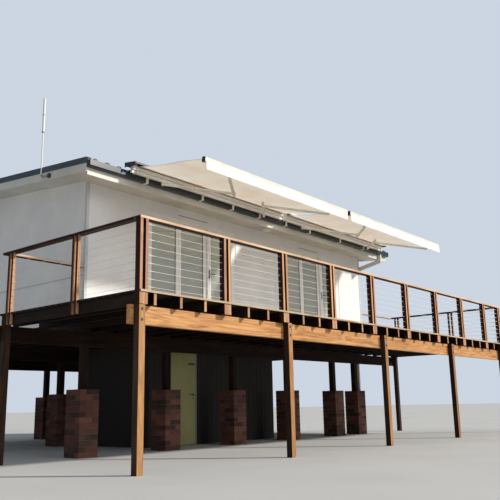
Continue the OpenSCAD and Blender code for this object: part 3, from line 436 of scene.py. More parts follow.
def brick_piers(node, seed):
    """Lays every course from four bricks, each turned a quarter further, and mirrors every second course."""
    draw = random.Random(seed)
    bricks, core = bmesh.new(), bmesh.new()
    tone = bricks.verts.layers.float.new("tone")
    joint, width, courses, recess = 0.01, 0.12, 12, 0.006
    for low, high in solids_of(node):
        block(core, low + Vector((recess, recess, 0)), high - Vector((recess, recess, recess)))
        side = high.x - low.x
        rise = (high.z - low.z + joint) / courses
        for course in range(courses):
            mirrored = course % 2
            for corner in range(4):
                verts = block(bricks, (0, 0, 0), (side - width - joint, width, rise - joint))
                if mirrored:
                    bmesh.ops.scale(bricks, vec=(-1, 1, 1), verts=verts)
                    bmesh.ops.translate(bricks, vec=(side, 0, 0), verts=verts)
                quarter = Matrix.Rotation(corner * math.pi / 2, 3, "Z")
                bmesh.ops.rotate(bricks, cent=(side / 2, side / 2, 0), matrix=quarter, verts=verts)
                bmesh.ops.translate(bricks, vec=low + Vector((0, 0, course * rise)), verts=verts)
                shade = draw.random()
                for vert in verts:
                    vert[tone] = shade
    ease(bricks, width=0.004, segments=1)
    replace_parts(piece("bricks_of_" + node, bricks, brick_painted_shade.material), node)
    piece("mortar_of_" + node, core, mortar.material)


brick_piers("front_brick_piers", seed=23)
brick_piers("rear_brick_piers", seed=29)
timbers("posts_on_piers", ["pier_posts"], shaded_wood, seed=31)

# Floor of the house
# Joists in a rim under wide boards of flooring, together as deep as the deck's boards and
# joists, so that the room and the deck are level.

floor_low, floor_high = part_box("house_floor")
timber_t, sheet_t, nearly = 0.045, 0.028, 0.0005
bays, board_w, board_gap = 20, 0.5, 0.001
joist_top = floor_high.z - sheet_t
timber_top = joist_top - nearly
floor_parts = bmesh.new()
for x in (floor_low.x, floor_high.x - timber_t):
    block(floor_parts, (x, floor_low.y, floor_low.z), (x + timber_t, floor_high.y, timber_top))
inner = (floor_low.x + timber_t + nearly, floor_high.x - timber_t - nearly)
for y in (floor_low.y, floor_high.y - timber_t):
    block(floor_parts, (inner[0], y, floor_low.z), (inner[1], y + timber_t, timber_top))
for i in range(1, bays):
    x = floor_low.x + (floor_high.x - floor_low.x) * i / bays
    block(floor_parts, (x - timber_t / 2, floor_low.y + timber_t + nearly, floor_low.z),
          (x + timber_t / 2, floor_high.y - timber_t - nearly, timber_top))
for i in range(round((floor_high.y - floor_low.y) / board_w)):
    y = floor_low.y + i * board_w
    block(floor_parts, (floor_low.x, y, joist_top), (floor_high.x, y + board_w - board_gap, floor_high.z))
ease(floor_parts, width=0.0015, segments=1)
mark_lengths(floor_parts, seed=37)
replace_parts(piece("floor_joists_and_boards", floor_parts, shaded_wood), "house_floor")

# Walls
# Flat cement sheets, painted white, with narrow cover strips over their joints and corners.
# Rain has left faint streaks under the eaves, and the sheets wave very slightly.


def paint(name, pale, dull, rough=0.55, streak=0.35, relief=0.0008):
    """House paint: rolled texture, faint streaks down the wall, and dirt in low contrast."""
    f = Finish(name)
    streaks = f.cloud((9, 9, 0.5), detail=5, rough=0.6)
    patches = f.cloud((1.3, 1.3, 1.3), rough=0.55)
    roller = f.cloud((420, 420, 420), detail=3, rough=0.6)
    waves = f.cloud((0.9, 0.9, 0.9), detail=1, rough=0.4)
    base = f.ramp(patches, (0.3, dull), (0.62, pale))
    base = f.mix(f.spread(streaks, 0.0, streak, start=0.52, end=0.8), base, dull)
    f.set(**{"Base Color": base, "Roughness": f.spread(patches, rough * 0.85, rough * 1.2)})
    f.raise_by(waves, depth=0.006, strength=0.06).raise_by(roller, depth=relief, strength=0.25)
    return f.material


wall_paint = paint("white wall paint", "#ebebea", "#dedfe0", streak=0.12, relief=0.0004)
dress(wall_paint, "front_wall", "side_walls", "back_wall", "ceiling")
# The strips' grey is a painted shadow line along the corners and the sill joint
strip_painted_shade = paint("strip paint greyed as painted shade", "#cbcdcf", "#bdbfc1", rough=0.45, streak=0.15)
wall_low, wall_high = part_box("side_walls")
corner_w = 0.1
shape = cad_copy("cover_strips")
ease(shape, width=0.0025)
# Corner strips take the grey as painted shade; the strips between sheets take the wall's white
for face in shape.faces:
    x = face.calc_center_median().x
    face.material_index = 0 if min(x - wall_low.x, wall_high.x - x) < corner_w else 1
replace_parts(piece("cover_strips_eased", shape, [strip_painted_shade, wall_paint]), "cover_strips")

strips, laths = bmesh.new(), bmesh.new()
strip_t, lath_t, lath_half_w, clear, strip_inset = 0.005, 0.0035, 0.012, 0.014, 0.05
sill_z, lath_top = wall_low.z + 0.77, wall_low.z + 2.38
side_sheets, back_joints = 6, (1.2, 2.4, 3.8, 5.2, 6.6, 7.8)
for x, lath_x in ((wall_low.x - strip_t, wall_low.x - lath_t), (wall_high.x, wall_high.x)):
    block(strips, (x, wall_low.y + strip_inset, sill_z - lath_half_w),
          (x + strip_t, wall_high.y - strip_inset, sill_z + lath_half_w))
    for i in range(1, side_sheets):
        y = wall_low.y + (wall_high.y - wall_low.y) * i / side_sheets
        for bottom, top in ((wall_low.z, sill_z - clear), (sill_z + clear, lath_top)):
            block(laths, (lath_x, y - lath_half_w, bottom), (lath_x + lath_t, y + lath_half_w, top))
for joint in back_joints:
    x = wall_low.x + joint
    block(laths, (x - lath_half_w, wall_high.y, wall_low.z),
          (x + lath_half_w, wall_high.y + strip_t, lath_top))
for shape, name, finish in ((strips, "sill_line_strips", strip_painted_shade), (laths, "joint_strips", wall_paint)):
    ease(shape, width=0.0012, segments=1)
    piece(name, shape, finish)
dress(shaded_wood, "roof_trusses")

# Roof
# Ribbed steel sheets in dark blue grey, laid from ridge to gutter and screwed through every
# second rib, with folded flashings along both rakes and over the ridge.


def sheet_metal(name, base, dusty, rough=0.42, along=(7, 0.6, 7), worn=(0.75, 1.5)):
    """Painted sheet steel: dust that runs down the slope, fine scuffs, and a satin sheen."""
    f = Finish(name, Metallic=0.0, Specular_IOR_Level=0.55)
    dust = f.cloud(along, detail=5, rough=0.6)
    scuff = f.cloud((120, 120, 120), rough=0.65)
    tint = f.ramp(dust, (0.38, base), (0.8, dusty))
    tint = f.mix(f.spread(scuff, 0.0, 0.18, start=0.5, end=0.75), tint, dusty)
    f.set(**{"Base Color": tint, "Roughness": f.spread(dust, rough * worn[0], rough * worn[1])})
    return f.raise_by(f.cloud((2.5, 2.5, 2.5), detail=2), depth=0.004, strength=0.15).material


roof_metal = sheet_metal("dark roof steel", "#2b3646", "#5b6674")
dress(roof_metal, "front_roof_sheet", "back_roof_sheet", "roof_flashings")

roof_low, roof_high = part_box("front_roof_sheet")
ridge_y = roof_high.y
pitch, roof_t, rib_h, rib_gap, rib_count = math.radians(5.2), 0.03, 0.025, 0.25, 39
slope = math.tan(pitch)
eave_z = wall_high.z - (ridge_y - wall_low.y) * slope
rib_top = (roof_t + rib_h) / math.cos(pitch)
rib_start = (roof_low.x + roof_high.x - rib_gap * (rib_count - 1)) / 2
screw_rows = (0.35, 1.2, 2.05, 2.9, 3.75)
roof_screws = []
for i in range(0, rib_count, 2):
    for from_ridge in screw_rows:
        z = eave_z + (ridge_y - from_ridge - wall_low.y) * slope + rib_top - nearly
        roof_screws += [(rib_start + i * rib_gap, ridge_y + way * from_ridge, z) for way in (-1, 1)]
bolts("roof_screws", roof_screws, axis=(0, 0, 1), radius=0.0065, finish=roof_metal)

# Fascias, barge boards and soffits
# Painted boards close the roof's edges, and thin sheets line the eaves between narrow strips.

trim_paint = paint("cream trim paint", "#d9d8d0", "#c2c1b8", rough=0.5, streak=0.3)
dress(trim_paint, "eave_fascias", "barge_boards", "soffits")
eave_run, soffit_sheets, batten_w, batten_t = 5, 5, 0.03, 0.004
battens = bmesh.new()
for low, high in solids_of("soffits"):
    if high.x - low.x > eave_run:
        for i in range(1, soffit_sheets):
            x = low.x + (high.x - low.x) * i / soffit_sheets
            block(battens, (x - batten_w / 2, low.y, low.z - batten_t), (x + batten_w / 2, high.y, low.z))
ease(battens, width=0.001, segments=1)
piece("soffit_strips", battens, trim_paint)

# Gutters and downpipes
# Folded steel gutters with lipped fronts hang on the fascias, with a strap about every 1.1 m,
# and a flat downpipe leads from each to the ground, held to the wall by three clips.

gutter_metal = sheet_metal("dark gutter steel", "#1f2833", "#39424d", rough=0.3, along=(1.2, 9, 9),
                           worn=(0.9, 1.2))
dress(gutter_metal, "gutters")
strap_bays, strap_w, strap_t, strap_drop, gutter_t = 9, 0.024, 0.002, 0.004, 0.003
straps = bmesh.new()
for low, high in solids_of("gutters"):
    strap_z = high.z - strap_drop
    for i in range(1, strap_bays):
        x = low.x + (high.x - low.x) * i / strap_bays
        block(straps, (x - strap_w / 2, low.y + gutter_t, strap_z),
              (x + strap_w / 2, high.y - gutter_t, strap_z + strap_t))
piece("gutter_straps", straps, gutter_metal)

pipe_paint = sheet_metal("white pipe enamel", "#dcdcd8", "#c0c0bb", rough=0.35, along=(6, 6, 1))
dress(pipe_paint, "downpipes")
clip_heights, clip_t, clip_half_h, clip_foot = (2.6, 3.4, 4.2), 0.003, 0.015, 0.03
clips = bmesh.new()
pipe_shape = cad_copy("downpipes")
for group in islands(pipe_shape):
    low, high = extent([vert for vert in group if vert.co.z < wall_low.z])
    for z in clip_heights:
        bottom, top = z - clip_half_h, z + clip_half_h
        block(clips, (high.x, low.y - clip_t, bottom), (high.x + clip_t, high.y + clip_t, top))
        for side, way in ((low.y, -1), (high.y, 1)):
            cheek = sorted((side, side + way * clip_t))
            foot = sorted((side + way * clip_t, side + way * clip_foot))
            block(clips, (wall_high.x, cheek[0], bottom), (high.x, cheek[1], top))
            block(clips, (wall_high.x, foot[0], bottom), (wall_high.x + clip_t, foot[1], top))
pipe_shape.free()
piece("downpipe_clips", clips, pipe_paint)

# Antenna
# A bent pole of white enamelled aluminium on a dark foot on the left barge board, with a thick
# sleeve over its upper part and two clamps.

bare_metal = steel("dull aluminium", "#b9bbbd", 0.38, scale=(25, 25, 25))
white_plastic = Finish("white sleeve", "#dcdcd8", 0.4)
white_plastic.raise_by(white_plastic.cloud((200, 200, 200), detail=3), depth=0.0003, strength=0.4)
dress(bare_metal, "antenna_mast")
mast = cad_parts["antenna_mast"].data
mast.materials.append(white_plastic.material)
mast.materials.append(gutter_metal)
mast_low, mast_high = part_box("antenna_mast")
pole_h, sleeve_share, sleeve_r, foot_run, bend_h = 1.48, 0.42, 0.0225, 0.06, 0.1
for face in mast.polygons:
    if face.center.y < mast_low.y + foot_run + nearly:
        face.material_index = 2
    elif face.center.z > mast_low.z + bend_h:
        face.material_index = 1
clamp_r, clamp_h, below_sleeve, clamp_gap = 0.024, 0.02, 0.022, 0.32
clamp_z = mast_high.z - pole_h * sleeve_share - below_sleeve
clamps = bmesh.new()
for z in (clamp_z, clamp_z + clamp_gap):
    stud(clamps, (mast_low.x + sleeve_r, mast_high.y - sleeve_r, z), (0, 0, 1), clamp_r, clamp_h, sides=20)
piece("antenna_clamps", clamps, bare_metal)

# Doors and windows
# White aluminium sashes in two tracks, with black rubber round each pane and a pull on the
# sash that slides. Behind the front doors hang curtains.

sash_paint = sheet_metal("white sash enamel", "#f3f3f1", "#e2e2df", rough=0.32, along=(3, 3, 3))
dress(sash_paint, "door_and_window_frames")

# The panes let light through and mirror more of it at a slant; a pale diffuse layer on them is a painted
# reflection of bright surroundings
clear_glass = Finish("window glass", "#dfe8e4", 0.03)
painted_reflection_share, mirrored_square_on = 0.36, 0.12
smear = clear_glass.spread(clear_glass.cloud((3, 3, 3)), 0.01, 0.08)
sheen = clear_glass.node("BsdfGlossy", {"Color": colour("#eef4f2"), "Roughness": smear})
through = clear_glass.node("BsdfTransparent", {"Color": colour("#edf3ef")})
painted_reflection = clear_glass.node("BsdfDiffuse", {"Color": colour("#e9e9e1")})
facing = clear_glass.node("LayerWeight", {"Blend": 0.5}).outputs["Facing"]
slant = clear_glass.node("Math", {0: facing, 1: 5.0}, operation="POWER").outputs[0]
mirrored = clear_glass.spread(slant, mirrored_square_on, 1.0)
# A share of each pane is the painted reflection
dusty = clear_glass.node("MixShader", {0: painted_reflection_share, 1: through.outputs["BSDF"], 2: painted_reflection.outputs["BSDF"]})
pane = clear_glass.node("MixShader", {0: mirrored, 1: dusty.outputs["Shader"], 2: sheen.outputs["BSDF"]})
clear_glass.show(pane, "Shader")
dress(clear_glass.material, "door_and_window_glass")

rubber = Finish("black glazing rubber", "#17181a", 0.7)
rubber.raise_by(rubber.cloud((300, 300, 300), detail=3), depth=0.0003, strength=0.4)
gaskets = bmesh.new()
bead, lip = 0.009, 0.004
for low, high in solids_of("door_and_window_glass"):
    sill, head = low.z + bead, high.z - bead
    for y in (low.y - lip, high.y):
        for left, bottom, right, top in ((low.x, low.z, high.x, sill), (low.x, head, high.x, high.z),
                                         (low.x, sill, low.x + bead, head),
                                         (high.x - bead, sill, high.x, head)):
            block(gaskets, (left, y, bottom), (right, y + lip, top))
ease(gaskets, width=0.0012, segments=1, shortest=0.002)
piece("glazing_beads", gaskets, rubber.material)


def site(x, y, z):
    """A point measured in metres from the foot of the corner stilt: along the front, back, and up."""
    return deck_corner + Vector((x, y, z))


vent_x, vent_y, vent_z, vent_w, vent_h, vent_t = (3.57, 7.55), 3.0, 4.40, 0.82, 0.014, 0.003
vents = bmesh.new()
for x in vent_x:
    low = site(x, vent_y, vent_z)
    block(vents, low - Vector((0, vent_t, 0)), low + Vector((vent_w, 0, vent_h)))
piece("wall_vent_slots", vents, paint("grey vent paint", "#8b8882", "#7b7872"))

dark_handle = steel("dark door handle", "#3c3c3b", 0.4)
front_panes = [low for low, high in solids_of("door_and_window_glass") if low.y < 0]
stile_middle, sash_front, pull_z = 0.05, 0.015, floor_high.z + 1.18
plate_half_w, plate_half_h, plate_t = 0.016, 0.09, 0.004
stem_r, stem_h, grip_half, grip_t, grip_out, grip_reach = 0.009, 0.045, 0.01, 0.012, 0.055, 0.12
pulls = bmesh.new()
for low in (front_panes[2], front_panes[5]):
    x, front = low.x - stile_middle, low.y - sash_front
    grip_y = front - grip_out
    block(pulls, (x - plate_half_w, front - plate_t, pull_z - plate_half_h),
          (x + plate_half_w, front, pull_z + plate_half_h))
    stud(pulls, (x, front - plate_t, pull_z), (0, -1, 0), stem_r, stem_h, sides=16)
    block(pulls, (x - grip_half, grip_y, pull_z - grip_half),
          (x + grip_reach, grip_y + grip_t, pull_z + grip_half))
ease(pulls, width=0.003, shortest=0.008)
piece("door_pulls", pulls, dark_handle)

# Curtains
# Heavy cream cloth on a track over each door, in two halves, gathered into folds that deepen
# towards its lower edge.


def cloth(name, pale, shade, threads, sheen, glow, waves=0.0):
    """Woven cloth: a weave of two thread directions, slubs, faint dust, and a share of light
    that it lets through. With waves, soft folds get painted shade in bands along them."""
    rough = 0.9
    f = Finish(name, Sheen_Weight=sheen, Sheen_Roughness=0.5)
    warp, weft = [f.node("TexWave", {"Vector": f.where(attribute="weave"), "Scale": threads / 12,
                                     "Distortion": 0.6, "Detail": 2.0},
                         wave_type="BANDS", bands_direction=way).outputs["Fac"] for way in ("X", "Y")]
    weave = f.node("Math", {0: warp, 1: weft}, operation="MULTIPLY").outputs[0]
    slubs = f.cloud((6, 160, 1), detail=3, rough=0.6, attribute="weave")
    dust = f.cloud((1.6, 1.6, 1.6), rough=0.6, twist=0.3, attribute="weave")
    base = f.ramp(dust, (0.3, shade), (0.62, pale))
    base = f.mix(f.spread(slubs, 0.0, 0.3, start=0.5, end=0.8), base, shade)
    if waves:
        folds = f.cloud((1.1, 0.55, 1.0), detail=2, rough=0.45, twist=1.2, attribute="weave")
        # The folds' bands are painted shade, mixed towards the darker colour
        base = f.mix(f.spread(folds, 0.0, 0.3, start=0.42, end=0.66), base, shade)
        f.raise_by(folds, depth=waves)
    f.set(**{"Base Color": base, "Roughness": f.spread(weave, rough, rough * 0.85)})
    f.raise_by(weave, depth=0.0003, strength=0.2)
    through = f.node("BsdfTranslucent", {"Color": base})
    both = f.node("MixShader", {0: glow, 1: f.shader.outputs["BSDF"], 2: through.outputs["BSDF"]})
    f.show(both, "Shader")
    return f.material


def flat_cloth(width, height, across, down):
    """A grid of cloth that hangs in X and Z from its top left corner, with its weave written on it."""
    shape = bmesh.new()
    bmesh.ops.create_grid(shape, x_segments=across, y_segments=down, size=0.5,
                          matrix=Matrix.Rotation(math.pi / 2, 4, "X"))
    bmesh.ops.scale(shape, vec=(width, 1, height), verts=shape.verts)
    bmesh.ops.translate(shape, vec=(width / 2, 0, -height / 2), verts=shape.verts)
    weave = shape.verts.layers.float_vector.new("weave")
    for vert in shape.verts:
        vert[weave] = Vector((vert.co.x, vert.co.z, 0))
    return shape


def thicken(made, thickness):
    """Gives a cloth its thickness, half to each side."""
    solid = made.modifiers.new("cloth thickness", "SOLIDIFY")
    solid.thickness = thickness
    solid.offset = 0.0
    return made


curtain_cloth = cloth("cream curtain cloth", "#f6f3ea", "#ebe8dd", threads=300, sheen=0.2, glow=0.35)
track_paint = steel("white curtain track", "#d8d8d4", 0.4, scale=(60, 60, 60), metallic=0.0)
track_parts = bmesh.new()
track_drop, track_depth, track_h, hang_y = 0.045, 0.09, 0.02, 0.0615
hook, meeting, curtain_t, folds, fullness = 0.012, 0.01, 0.0016, 12, 1.45
fold_top, fold_growth, flattened, stray, sway = 0.016, 0.006, 0.25, 1.4, 0.012
wander_across, wander_down, wander_step, flat_from = 5, 1.5, 7.3, 0.3
glider_gap, glider_r, glider_h = 0.1, 0.004, 0.014
for number, (low, high) in enumerate(solids_of("curtains")):
    top = high.z - track_drop
    middle = low.y + hang_y
    width, height = (high.x - low.x) / 2 - meeting, top - hook - low.z
    for side, side_name in enumerate(("left", "right")):
        shape = flat_cloth(width, height, across=150, down=26)
        seed = wander_step * (number * 2 + side)
        for vert in shape.verts:
            fall = -vert.co.z / height
            phase = vert.co.x / width * 2 * math.pi * folds
            wander = noise.noise(Vector((vert.co.x * wander_across, fall * wander_down, seed)))
            depth = (fold_top + fold_growth * fall) * (1 - flattened * (wander > flat_from))
            vert.co.y = depth * math.sin(phase + stray * wander * fall)
            vert.co.x += sway * wander * fall
        left = low.x + meeting / 2 + side * (width + meeting)
        bmesh.ops.translate(shape, vec=(left, middle, top - hook), verts=shape.verts)
        half = piece(f"curtain_{number + 1}_{side_name}", shape, curtain_cloth, smooth=True)
        thicken(half, curtain_t)
    block(track_parts, (low.x, low.y, top), (high.x, low.y + track_depth, top + track_h))
    for i in range(int((high.x - low.x) / glider_gap)):
        x = low.x + glider_gap / 2 + i * glider_gap
        stud(track_parts, (x, middle, top - glider_h), (0, 0, 1), glider_r, glider_h, sides=8)
ease(track_parts, width=0.002, segments=1, shortest=0.01)
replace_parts(piece("curtain_tracks", track_parts, track_paint), "curtains")

# Store under the house
# Dark painted boards close a store between the piers, and a pale flush door hangs in a plain frame.
# The door has a slide bolt on its front and a lever on each side, over a small lock rose.

store_paint = paint("dark store paint", "#2b2420", "#1d1815", rough=0.75, streak=0.4, relief=0.0012)
dress(store_paint, "store_wall_left_of_door", "store_wall_right_of_door", "store_wall_over_door",
      "store_walls")
store_board_w, groove, board_t, board_inset = 0.15, 0.004, 0.006, 0.01
boarding = bmesh.new()
for node in ("store_wall_left_of_door", "store_wall_right_of_door"):
    low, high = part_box(node)
    count = max(2, round((high.x - low.x) / store_board_w))
    step = (high.x - low.x) / count
    for i in range(count):
        x = low.x + i * step
        block(boarding, (x + groove, low.y - board_t, low.z + board_inset),
              (x + step - groove, low.y, high.z - board_inset))
ease(boarding, width=0.002, segments=1)
piece("store_boarding", boarding, store_paint)

jamb_paint = paint("grey jamb paint", "#8d8b84", "#76746d", rough=0.5)
dress(jamb_paint, "store_door_frame")
door_paint = paint("pale yellow door paint", "#a6a26b", "#908c59", rough=0.4, streak=0.3)
lever_metal = steel("dark lever metal", "#5c5a57", 0.35)
dress(door_paint, "store_door")
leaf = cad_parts["store_door"].data
leaf.materials.append(lever_metal)
leaf_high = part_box("store_door")[1]
leaf_t, frame_d = 0.035, 0.09
face_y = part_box("store_door_frame")[1].y - frame_d
for face in leaf.polygons:
    if face.center.y < face_y - nearly or face.center.y > face_y + leaf_t + nearly:
        face.material_index = 1

leaf_foot, lever_share, lever_inset, lock_drop = 0.01, 0.52, 0.065, 0.075
lever_x = leaf_high.x - lever_inset
lever_z = leaf_foot + (leaf_high.z - leaf_foot) * lever_share
roses = bmesh.new()
for y, way in ((face_y, -1), (face_y + leaf_t, 1)):
    stud(roses, (lever_x, y, lever_z), (0, way, 0), radius=0.026, height=0.006, sides=24)
    stud(roses, (lever_x, y, lever_z - lock_drop), (0, way, 0), radius=0.016, height=0.005, sides=20)
piece("lever_roses", roses, lever_metal, "store_door")

bolt_z, back_plate, back_half_h, back_t = 1.63, (0.2, 0.02), 0.022, 0.003
rod_start, rod_length, rod_out, rod_r = 0.19, 0.17, 0.012, 0.008
keepers, keeper_w, keeper_d, keeper_half_h = (0.17, 0.11, 0.05), 0.012, 0.022, 0.012
bolt = bmesh.new()
block(bolt, (leaf_high.x - back_plate[0], face_y - back_t, bolt_z - back_half_h),
      (leaf_high.x - back_plate[1], face_y, bolt_z + back_half_h))
stud(bolt, (leaf_high.x - rod_start, face_y - rod_out, bolt_z), (1, 0, 0), rod_r, rod_length)
for from_edge in keepers:
    x = leaf_high.x - from_edge
    block(bolt, (x, face_y - keeper_d, bolt_z - keeper_half_h),
          (x + keeper_w, face_y, bolt_z + keeper_half_h))
piece("slide_bolt", bolt, lever_metal, "store_door")

# Awnings
# Two folding arm awnings stand on brackets in front of the gutter: a torsion bar, a roller
# with its hood, two jointed arms, and a front bar with a valance.

enamel = sheet_metal("white awning enamel", "#eeebe0", "#cdc6b3", rough=0.35, along=(2, 6, 6))
awning_cloth = cloth("cream awning cloth", "#fffdf8", "#fbf2e6", threads=1100, sheen=0.0, glow=0.66,
                     waves=0.22)
valance_cloth = cloth("cream valance cloth", "#fefdfb", "#f8f5ef", threads=1100, sheen=0.0, glow=0.2,
                      waves=0.06)
dark_cap = Finish("dark end cap", "#2a2b2d", 0.45)
dark_cap.raise_by(dark_cap.cloud((250, 250, 250), detail=3), depth=0.0003, strength=0.5)
dress(enamel, "awning_rollers", "awning_brackets")

# The hoods are painted dark as shade along the house's left end; beyond it their lip and inside are white
# enamel, and faces turned up or back stay dark steel
painted_shade_run, turned = 0.38, 0.3
hoods = cad_copy("awning_hoods")
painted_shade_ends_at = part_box("awning_hoods")[0].x + painted_shade_run
everything = hoods.verts[:] + hoods.edges[:] + hoods.faces[:]
bmesh.ops.bisect_plane(hoods, geom=everything, plane_co=(painted_shade_ends_at, 0, 0), plane_no=(1, 0, 0))
for face in hoods.faces:
    turned_away = face.normal.z < -turned or face.normal.y < -turned
    face.material_index = 1 if turned_away and face.calc_center_median().x > painted_shade_ends_at else 0
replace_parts(piece("awning_hood_sheets", hoods, [gutter_metal, enamel]), "awning_hoods")

# The cloth that is wound on the rollers
shoulder_y, shoulder_z, arm_pitch = deck_corner.y + 2.25, 4.595, math.radians(8)
roller_y, roller_z, roller_r = shoulder_y + 0.005, 4.732, 0.039
end_on = 0.5
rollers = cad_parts["awning_rollers"].data
rollers.materials.append(valance_cloth)
for face in rollers.polygons:
    off = Vector((0, face.center.y - roller_y, face.center.z - roller_z))
    if off.length < roller_r + nearly and abs(face.normal.x) < end_on:
        face.material_index = 1

arm_length, arm_angle, fold_angle, shoulder_x = 1.3, math.radians(52), math.radians(33), 1.43
arm_reach = arm_length * math.cos(arm_angle)
arm_spread = arm_length * math.sin(arm_angle)
arm_top, cover_r, cover_h, cover_taper = 0.018, 0.022, 0.008, 0.86
bar_rise, bar_depth, bar_h, cap_t = 0.074, 0.07, 0.09, 0.006
trim_y, trim_z, tuck_y, tuck_z, cloth_t = 0.003, 0.004, 0.001, 0.002, 0.0015
seams, slack, sag, sag_wave, sag_seam = 3, 0.64, 0.018, 0.010, 0.005
waves_across, waves_down = 5, 1.2
ripple, ripples_across, ripples_down, ripple_seed, valance_lean = 0.006, 2.2, 0.6, 11.0, 0.002

for name, wave_seed in (("left", 3.1), ("right", 8.4)):
    awning = name + "_awning"
    bar = awning + "_front_bar"
    bar_low, bar_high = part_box(bar)
    middle_x = (bar_low.x + bar_high.x) / 2
    plane = Matrix.Translation((middle_x, shoulder_y, shoulder_z)) @ Matrix.Rotation(arm_pitch, 4, "X")
    for side_name, side in (("left", -1), ("right", 1)):
        upper_arm, forearm = [f"{awning}_{side_name}_{part}" for part in ("upper_arm", "forearm")]
        for node in (upper_arm, forearm):
            shape = cad_copy(node)
            ease(shape, width=0.006, segments=3, shortest=0.2)
            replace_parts(piece(node + "_casting", shape, enamel, node), node)
        elbow = (side * (shoulder_x - arm_spread), -arm_reach, arm_top + cover_h / 2)
        cover = bmesh.new()
        bmesh.ops.create_cone(cover, cap_ends=True, segments=24, radius1=cover_r,
                              radius2=cover_r * cover_taper, depth=cover_h,
                              matrix=plane @ Matrix.Translation(elbow))
        piece(upper_arm + "_cover", cover, dark_cap.material, upper_arm)
    dress(enamel, bar)

    caps = bmesh.new()
    cap_size = Matrix.Diagonal((cap_t, bar_depth, bar_h, 1))
    for way in (-1, 1):
        x = way * ((bar_high.x - bar_low.x) / 2 + cap_t / 2)
        place = Matrix.Translation((x, -2 * arm_reach, bar_rise + bar_h / 2))
        bmesh.ops.create_cube(caps, size=1.0, matrix=plane @ place @ cap_size)
    ease(caps, width=0.0025, shortest=0.05)
    piece(awning + "_bar_caps", caps, dark_cap.material, bar)

    # The cloth is sewn from four widths, sags a little between roller and bar, and waves along its seams
    low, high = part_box(awning + "_fabric")
    run = Vector((0, high.y - low.y - trim_y, high.z - low.z - trim_z))
    length = run.length
    width = high.x - low.x
    shape = flat_cloth(width, length, across=96, down=28)
    for vert in shape.verts:
        share, along = -vert.co.z / length, vert.co.x / width
        hold = math.sin(math.pi * min(max(share, 0) / slack, 1))
        wave = noise.noise(Vector((along * waves_across, share * waves_down, wave_seed)))
        pull = 1 - abs(2 * ((along * (seams + 1)) % 1) - 1)
        vert.co.y = hold * (sag + sag_wave * wave + sag_seam * pull)
    lean = Matrix.Rotation(math.atan2(run.z, run.y) - math.pi / 2, 4, "X")
    bmesh.ops.transform(shape, matrix=lean, verts=shape.verts)
    cloth_back = (low.x, high.y - tuck_y, high.z - tuck_z)
    bmesh.ops.translate(shape, vec=cloth_back, verts=shape.verts)
    sheet = piece(awning + "_cloth", shape, awning_cloth, smooth=True)
    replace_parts(thicken(sheet, cloth_t), awning + "_fabric")

    low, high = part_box(awning + "_valance")
    width, drop = high.x - low.x, high.z - low.z
    shape = flat_cloth(width, drop, across=160, down=8)
    for vert in shape.verts:
        fall = -vert.co.z / drop
        wave = noise.noise(Vector((vert.co.x * ripples_across, fall * ripples_down, ripple_seed)))
        vert.co.y = -fall * (ripple * wave + valance_lean)
    bmesh.ops.translate(shape, vec=(low.x, (low.y + high.y) / 2, high.z), verts=shape.verts)
    frill = piece(awning + "_valance_cloth", shape, valance_cloth, bar, smooth=True)
    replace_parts(thicken(frill, cloth_t), awning + "_valance")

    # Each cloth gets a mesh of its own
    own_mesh(sheet)

# Eave light
# A small round lamp under the front eave: a painted base that is screwed to the soffit,
# and a low dome of opal glass on it.

above_fascia, base_r, base_h, dome_r, dome_flat = 0.1, 0.13, 0.03, 0.105, 0.55
lamp_place = site(6.0, 2.73, 0)
lamp_place.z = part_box("eave_fascias")[0].z + above_fascia
base = bmesh.new()
stud(base, lamp_place, (0, 0, -1), base_r, base_h, sides=36, taper=0.92)
piece("eave_lamp_base", base, trim_paint)
opal = Finish("opal lamp glass", "#e9e6dd", 0.35, Subsurface_Weight=0.2)
opal.raise_by(opal.cloud((60, 60, 60), detail=2), depth=0.0004, strength=0.3)
dome = bmesh.new()
bmesh.ops.create_uvsphere(dome, u_segments=32, v_segments=16, radius=dome_r)
bmesh.ops.bisect_plane(dome, geom=dome.verts[:] + dome.edges[:] + dome.faces[:], plane_co=(0, 0, 0),
                       plane_no=(0, 0, 1), clear_outer=True)
bmesh.ops.contextual_create(dome, geom=[edge for edge in dome.edges if edge.is_boundary])
bmesh.ops.scale(dome, vec=(1, 1, dome_flat), verts=dome.verts)
bmesh.ops.translate(dome, vec=lamp_place - Vector((0, 0, base_h)), verts=dome.verts)
piece("eave_lamp_dome", dome, opal.material, smooth=True)

# Studio
# A pale floor, an even pale sky, one soft sun from the front right and a wide weak one from the
# front. The camera stands low in front of the left corner, as in the photograph.

floor_r = 160
ground = bmesh.new()
bmesh.ops.create_circle(ground, cap_ends=True, segments=96, radius=floor_r)
floor_mesh = bpy.data.meshes.new("studio_floor")
ground.to_mesh(floor_mesh)
ground.free()
studio = Finish("pale studio floor", "#e2e2e0", 0.9)
mottle = studio.cloud((0.6, 0.6, 0.6), detail=2)
studio.set(**{"Base Color": studio.ramp(mottle, (0.3, "#cbcbca"), (0.7, "#d3d3d1"))})
floor_mesh.materials.append(studio.material)
floor = bpy.data.objects.new("studio_floor", floor_mesh)
bpy.context.scene.collection.objects.link(floor)

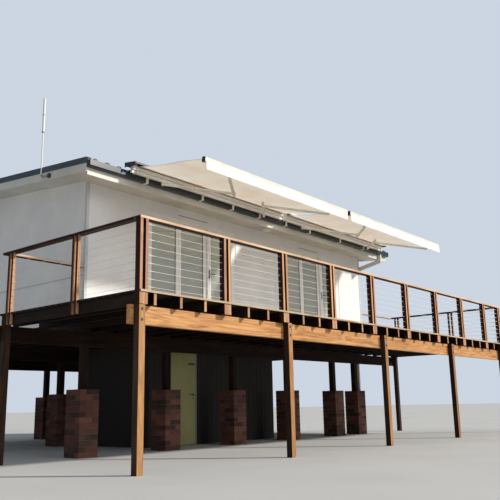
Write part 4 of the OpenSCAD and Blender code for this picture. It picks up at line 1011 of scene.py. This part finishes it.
# The camera sees a sky of its own, which doesn't light the house
world = bpy.data.worlds.new("studio sky")
bpy.context.scene.world = world
world.use_nodes = True
sky = world.node_tree
lighting = sky.nodes["Background"]
lighting.inputs["Color"].default_value = (0.82, 0.9, 1.0, 1)
lighting.inputs["Strength"].default_value = 0.33
backdrop = sky.nodes.new("ShaderNodeBackground")
backdrop.inputs["Color"].default_value = (0.6, 0.67, 0.76, 1)
rays = sky.nodes.new("ShaderNodeLightPath")
choose = sky.nodes.new("ShaderNodeMixShader")
for socket, output in enumerate((rays.outputs["Is Camera Ray"], lighting.outputs[0], backdrop.outputs[0])):
    sky.links.new(output, choose.inputs[socket])
sky.links.new(choose.outputs[0], sky.nodes["World Output"].inputs["Surface"])

for name, strength, spread, tint, towards in (
        ("soft sun", 3.6, 4.5, (1.0, 0.94, 0.86), (0.479, -0.736, 0.479)),
        ("wide front fill", 0.6, 30, (0.94, 0.97, 1.0), (0, -1, 0.25))):
    light = bpy.data.lights.new(name, "SUN")
    light.energy = strength
    light.angle = math.radians(spread)
    light.color = tint
    lamp = bpy.data.objects.new(name, light)
    lamp.rotation_mode = "QUATERNION"
    lamp.rotation_quaternion = Vector(towards).to_track_quat("Z", "Y")
    bpy.context.scene.collection.objects.link(lamp)

# Fitted to the photograph: where the camera stands and looks, and its focal length in pixels
eye, focal_px, frame_px, sensor = site(-5.432, -6.245, 0.774), 682.6, 500, 36
yaw, pitch_up, roll = math.radians(50.39), math.radians(12.77), math.radians(-1.13)
ahead = Vector((math.sin(yaw) * math.cos(pitch_up), math.cos(yaw) * math.cos(pitch_up), math.sin(pitch_up)))
right = Vector((math.cos(yaw), -math.sin(yaw), 0))
up = right.cross(ahead)
tilted_right = right * math.cos(roll) + up * math.sin(roll)
tilted_up = up * math.cos(roll) - right * math.sin(roll)
camera_data = bpy.data.cameras.new("camera")
camera_data.sensor_width = sensor
camera_data.lens = focal_px / frame_px * sensor
camera_data.clip_end = 500
camera = bpy.data.objects.new("camera", camera_data)
place = Matrix((tilted_right, tilted_up, -ahead)).transposed().to_4x4()
place.translation = eye
camera.matrix_world = place
bpy.context.scene.collection.objects.link(camera)
bpy.context.scene.camera = camera
bpy.context.scene.view_settings.view_transform = "Standard"
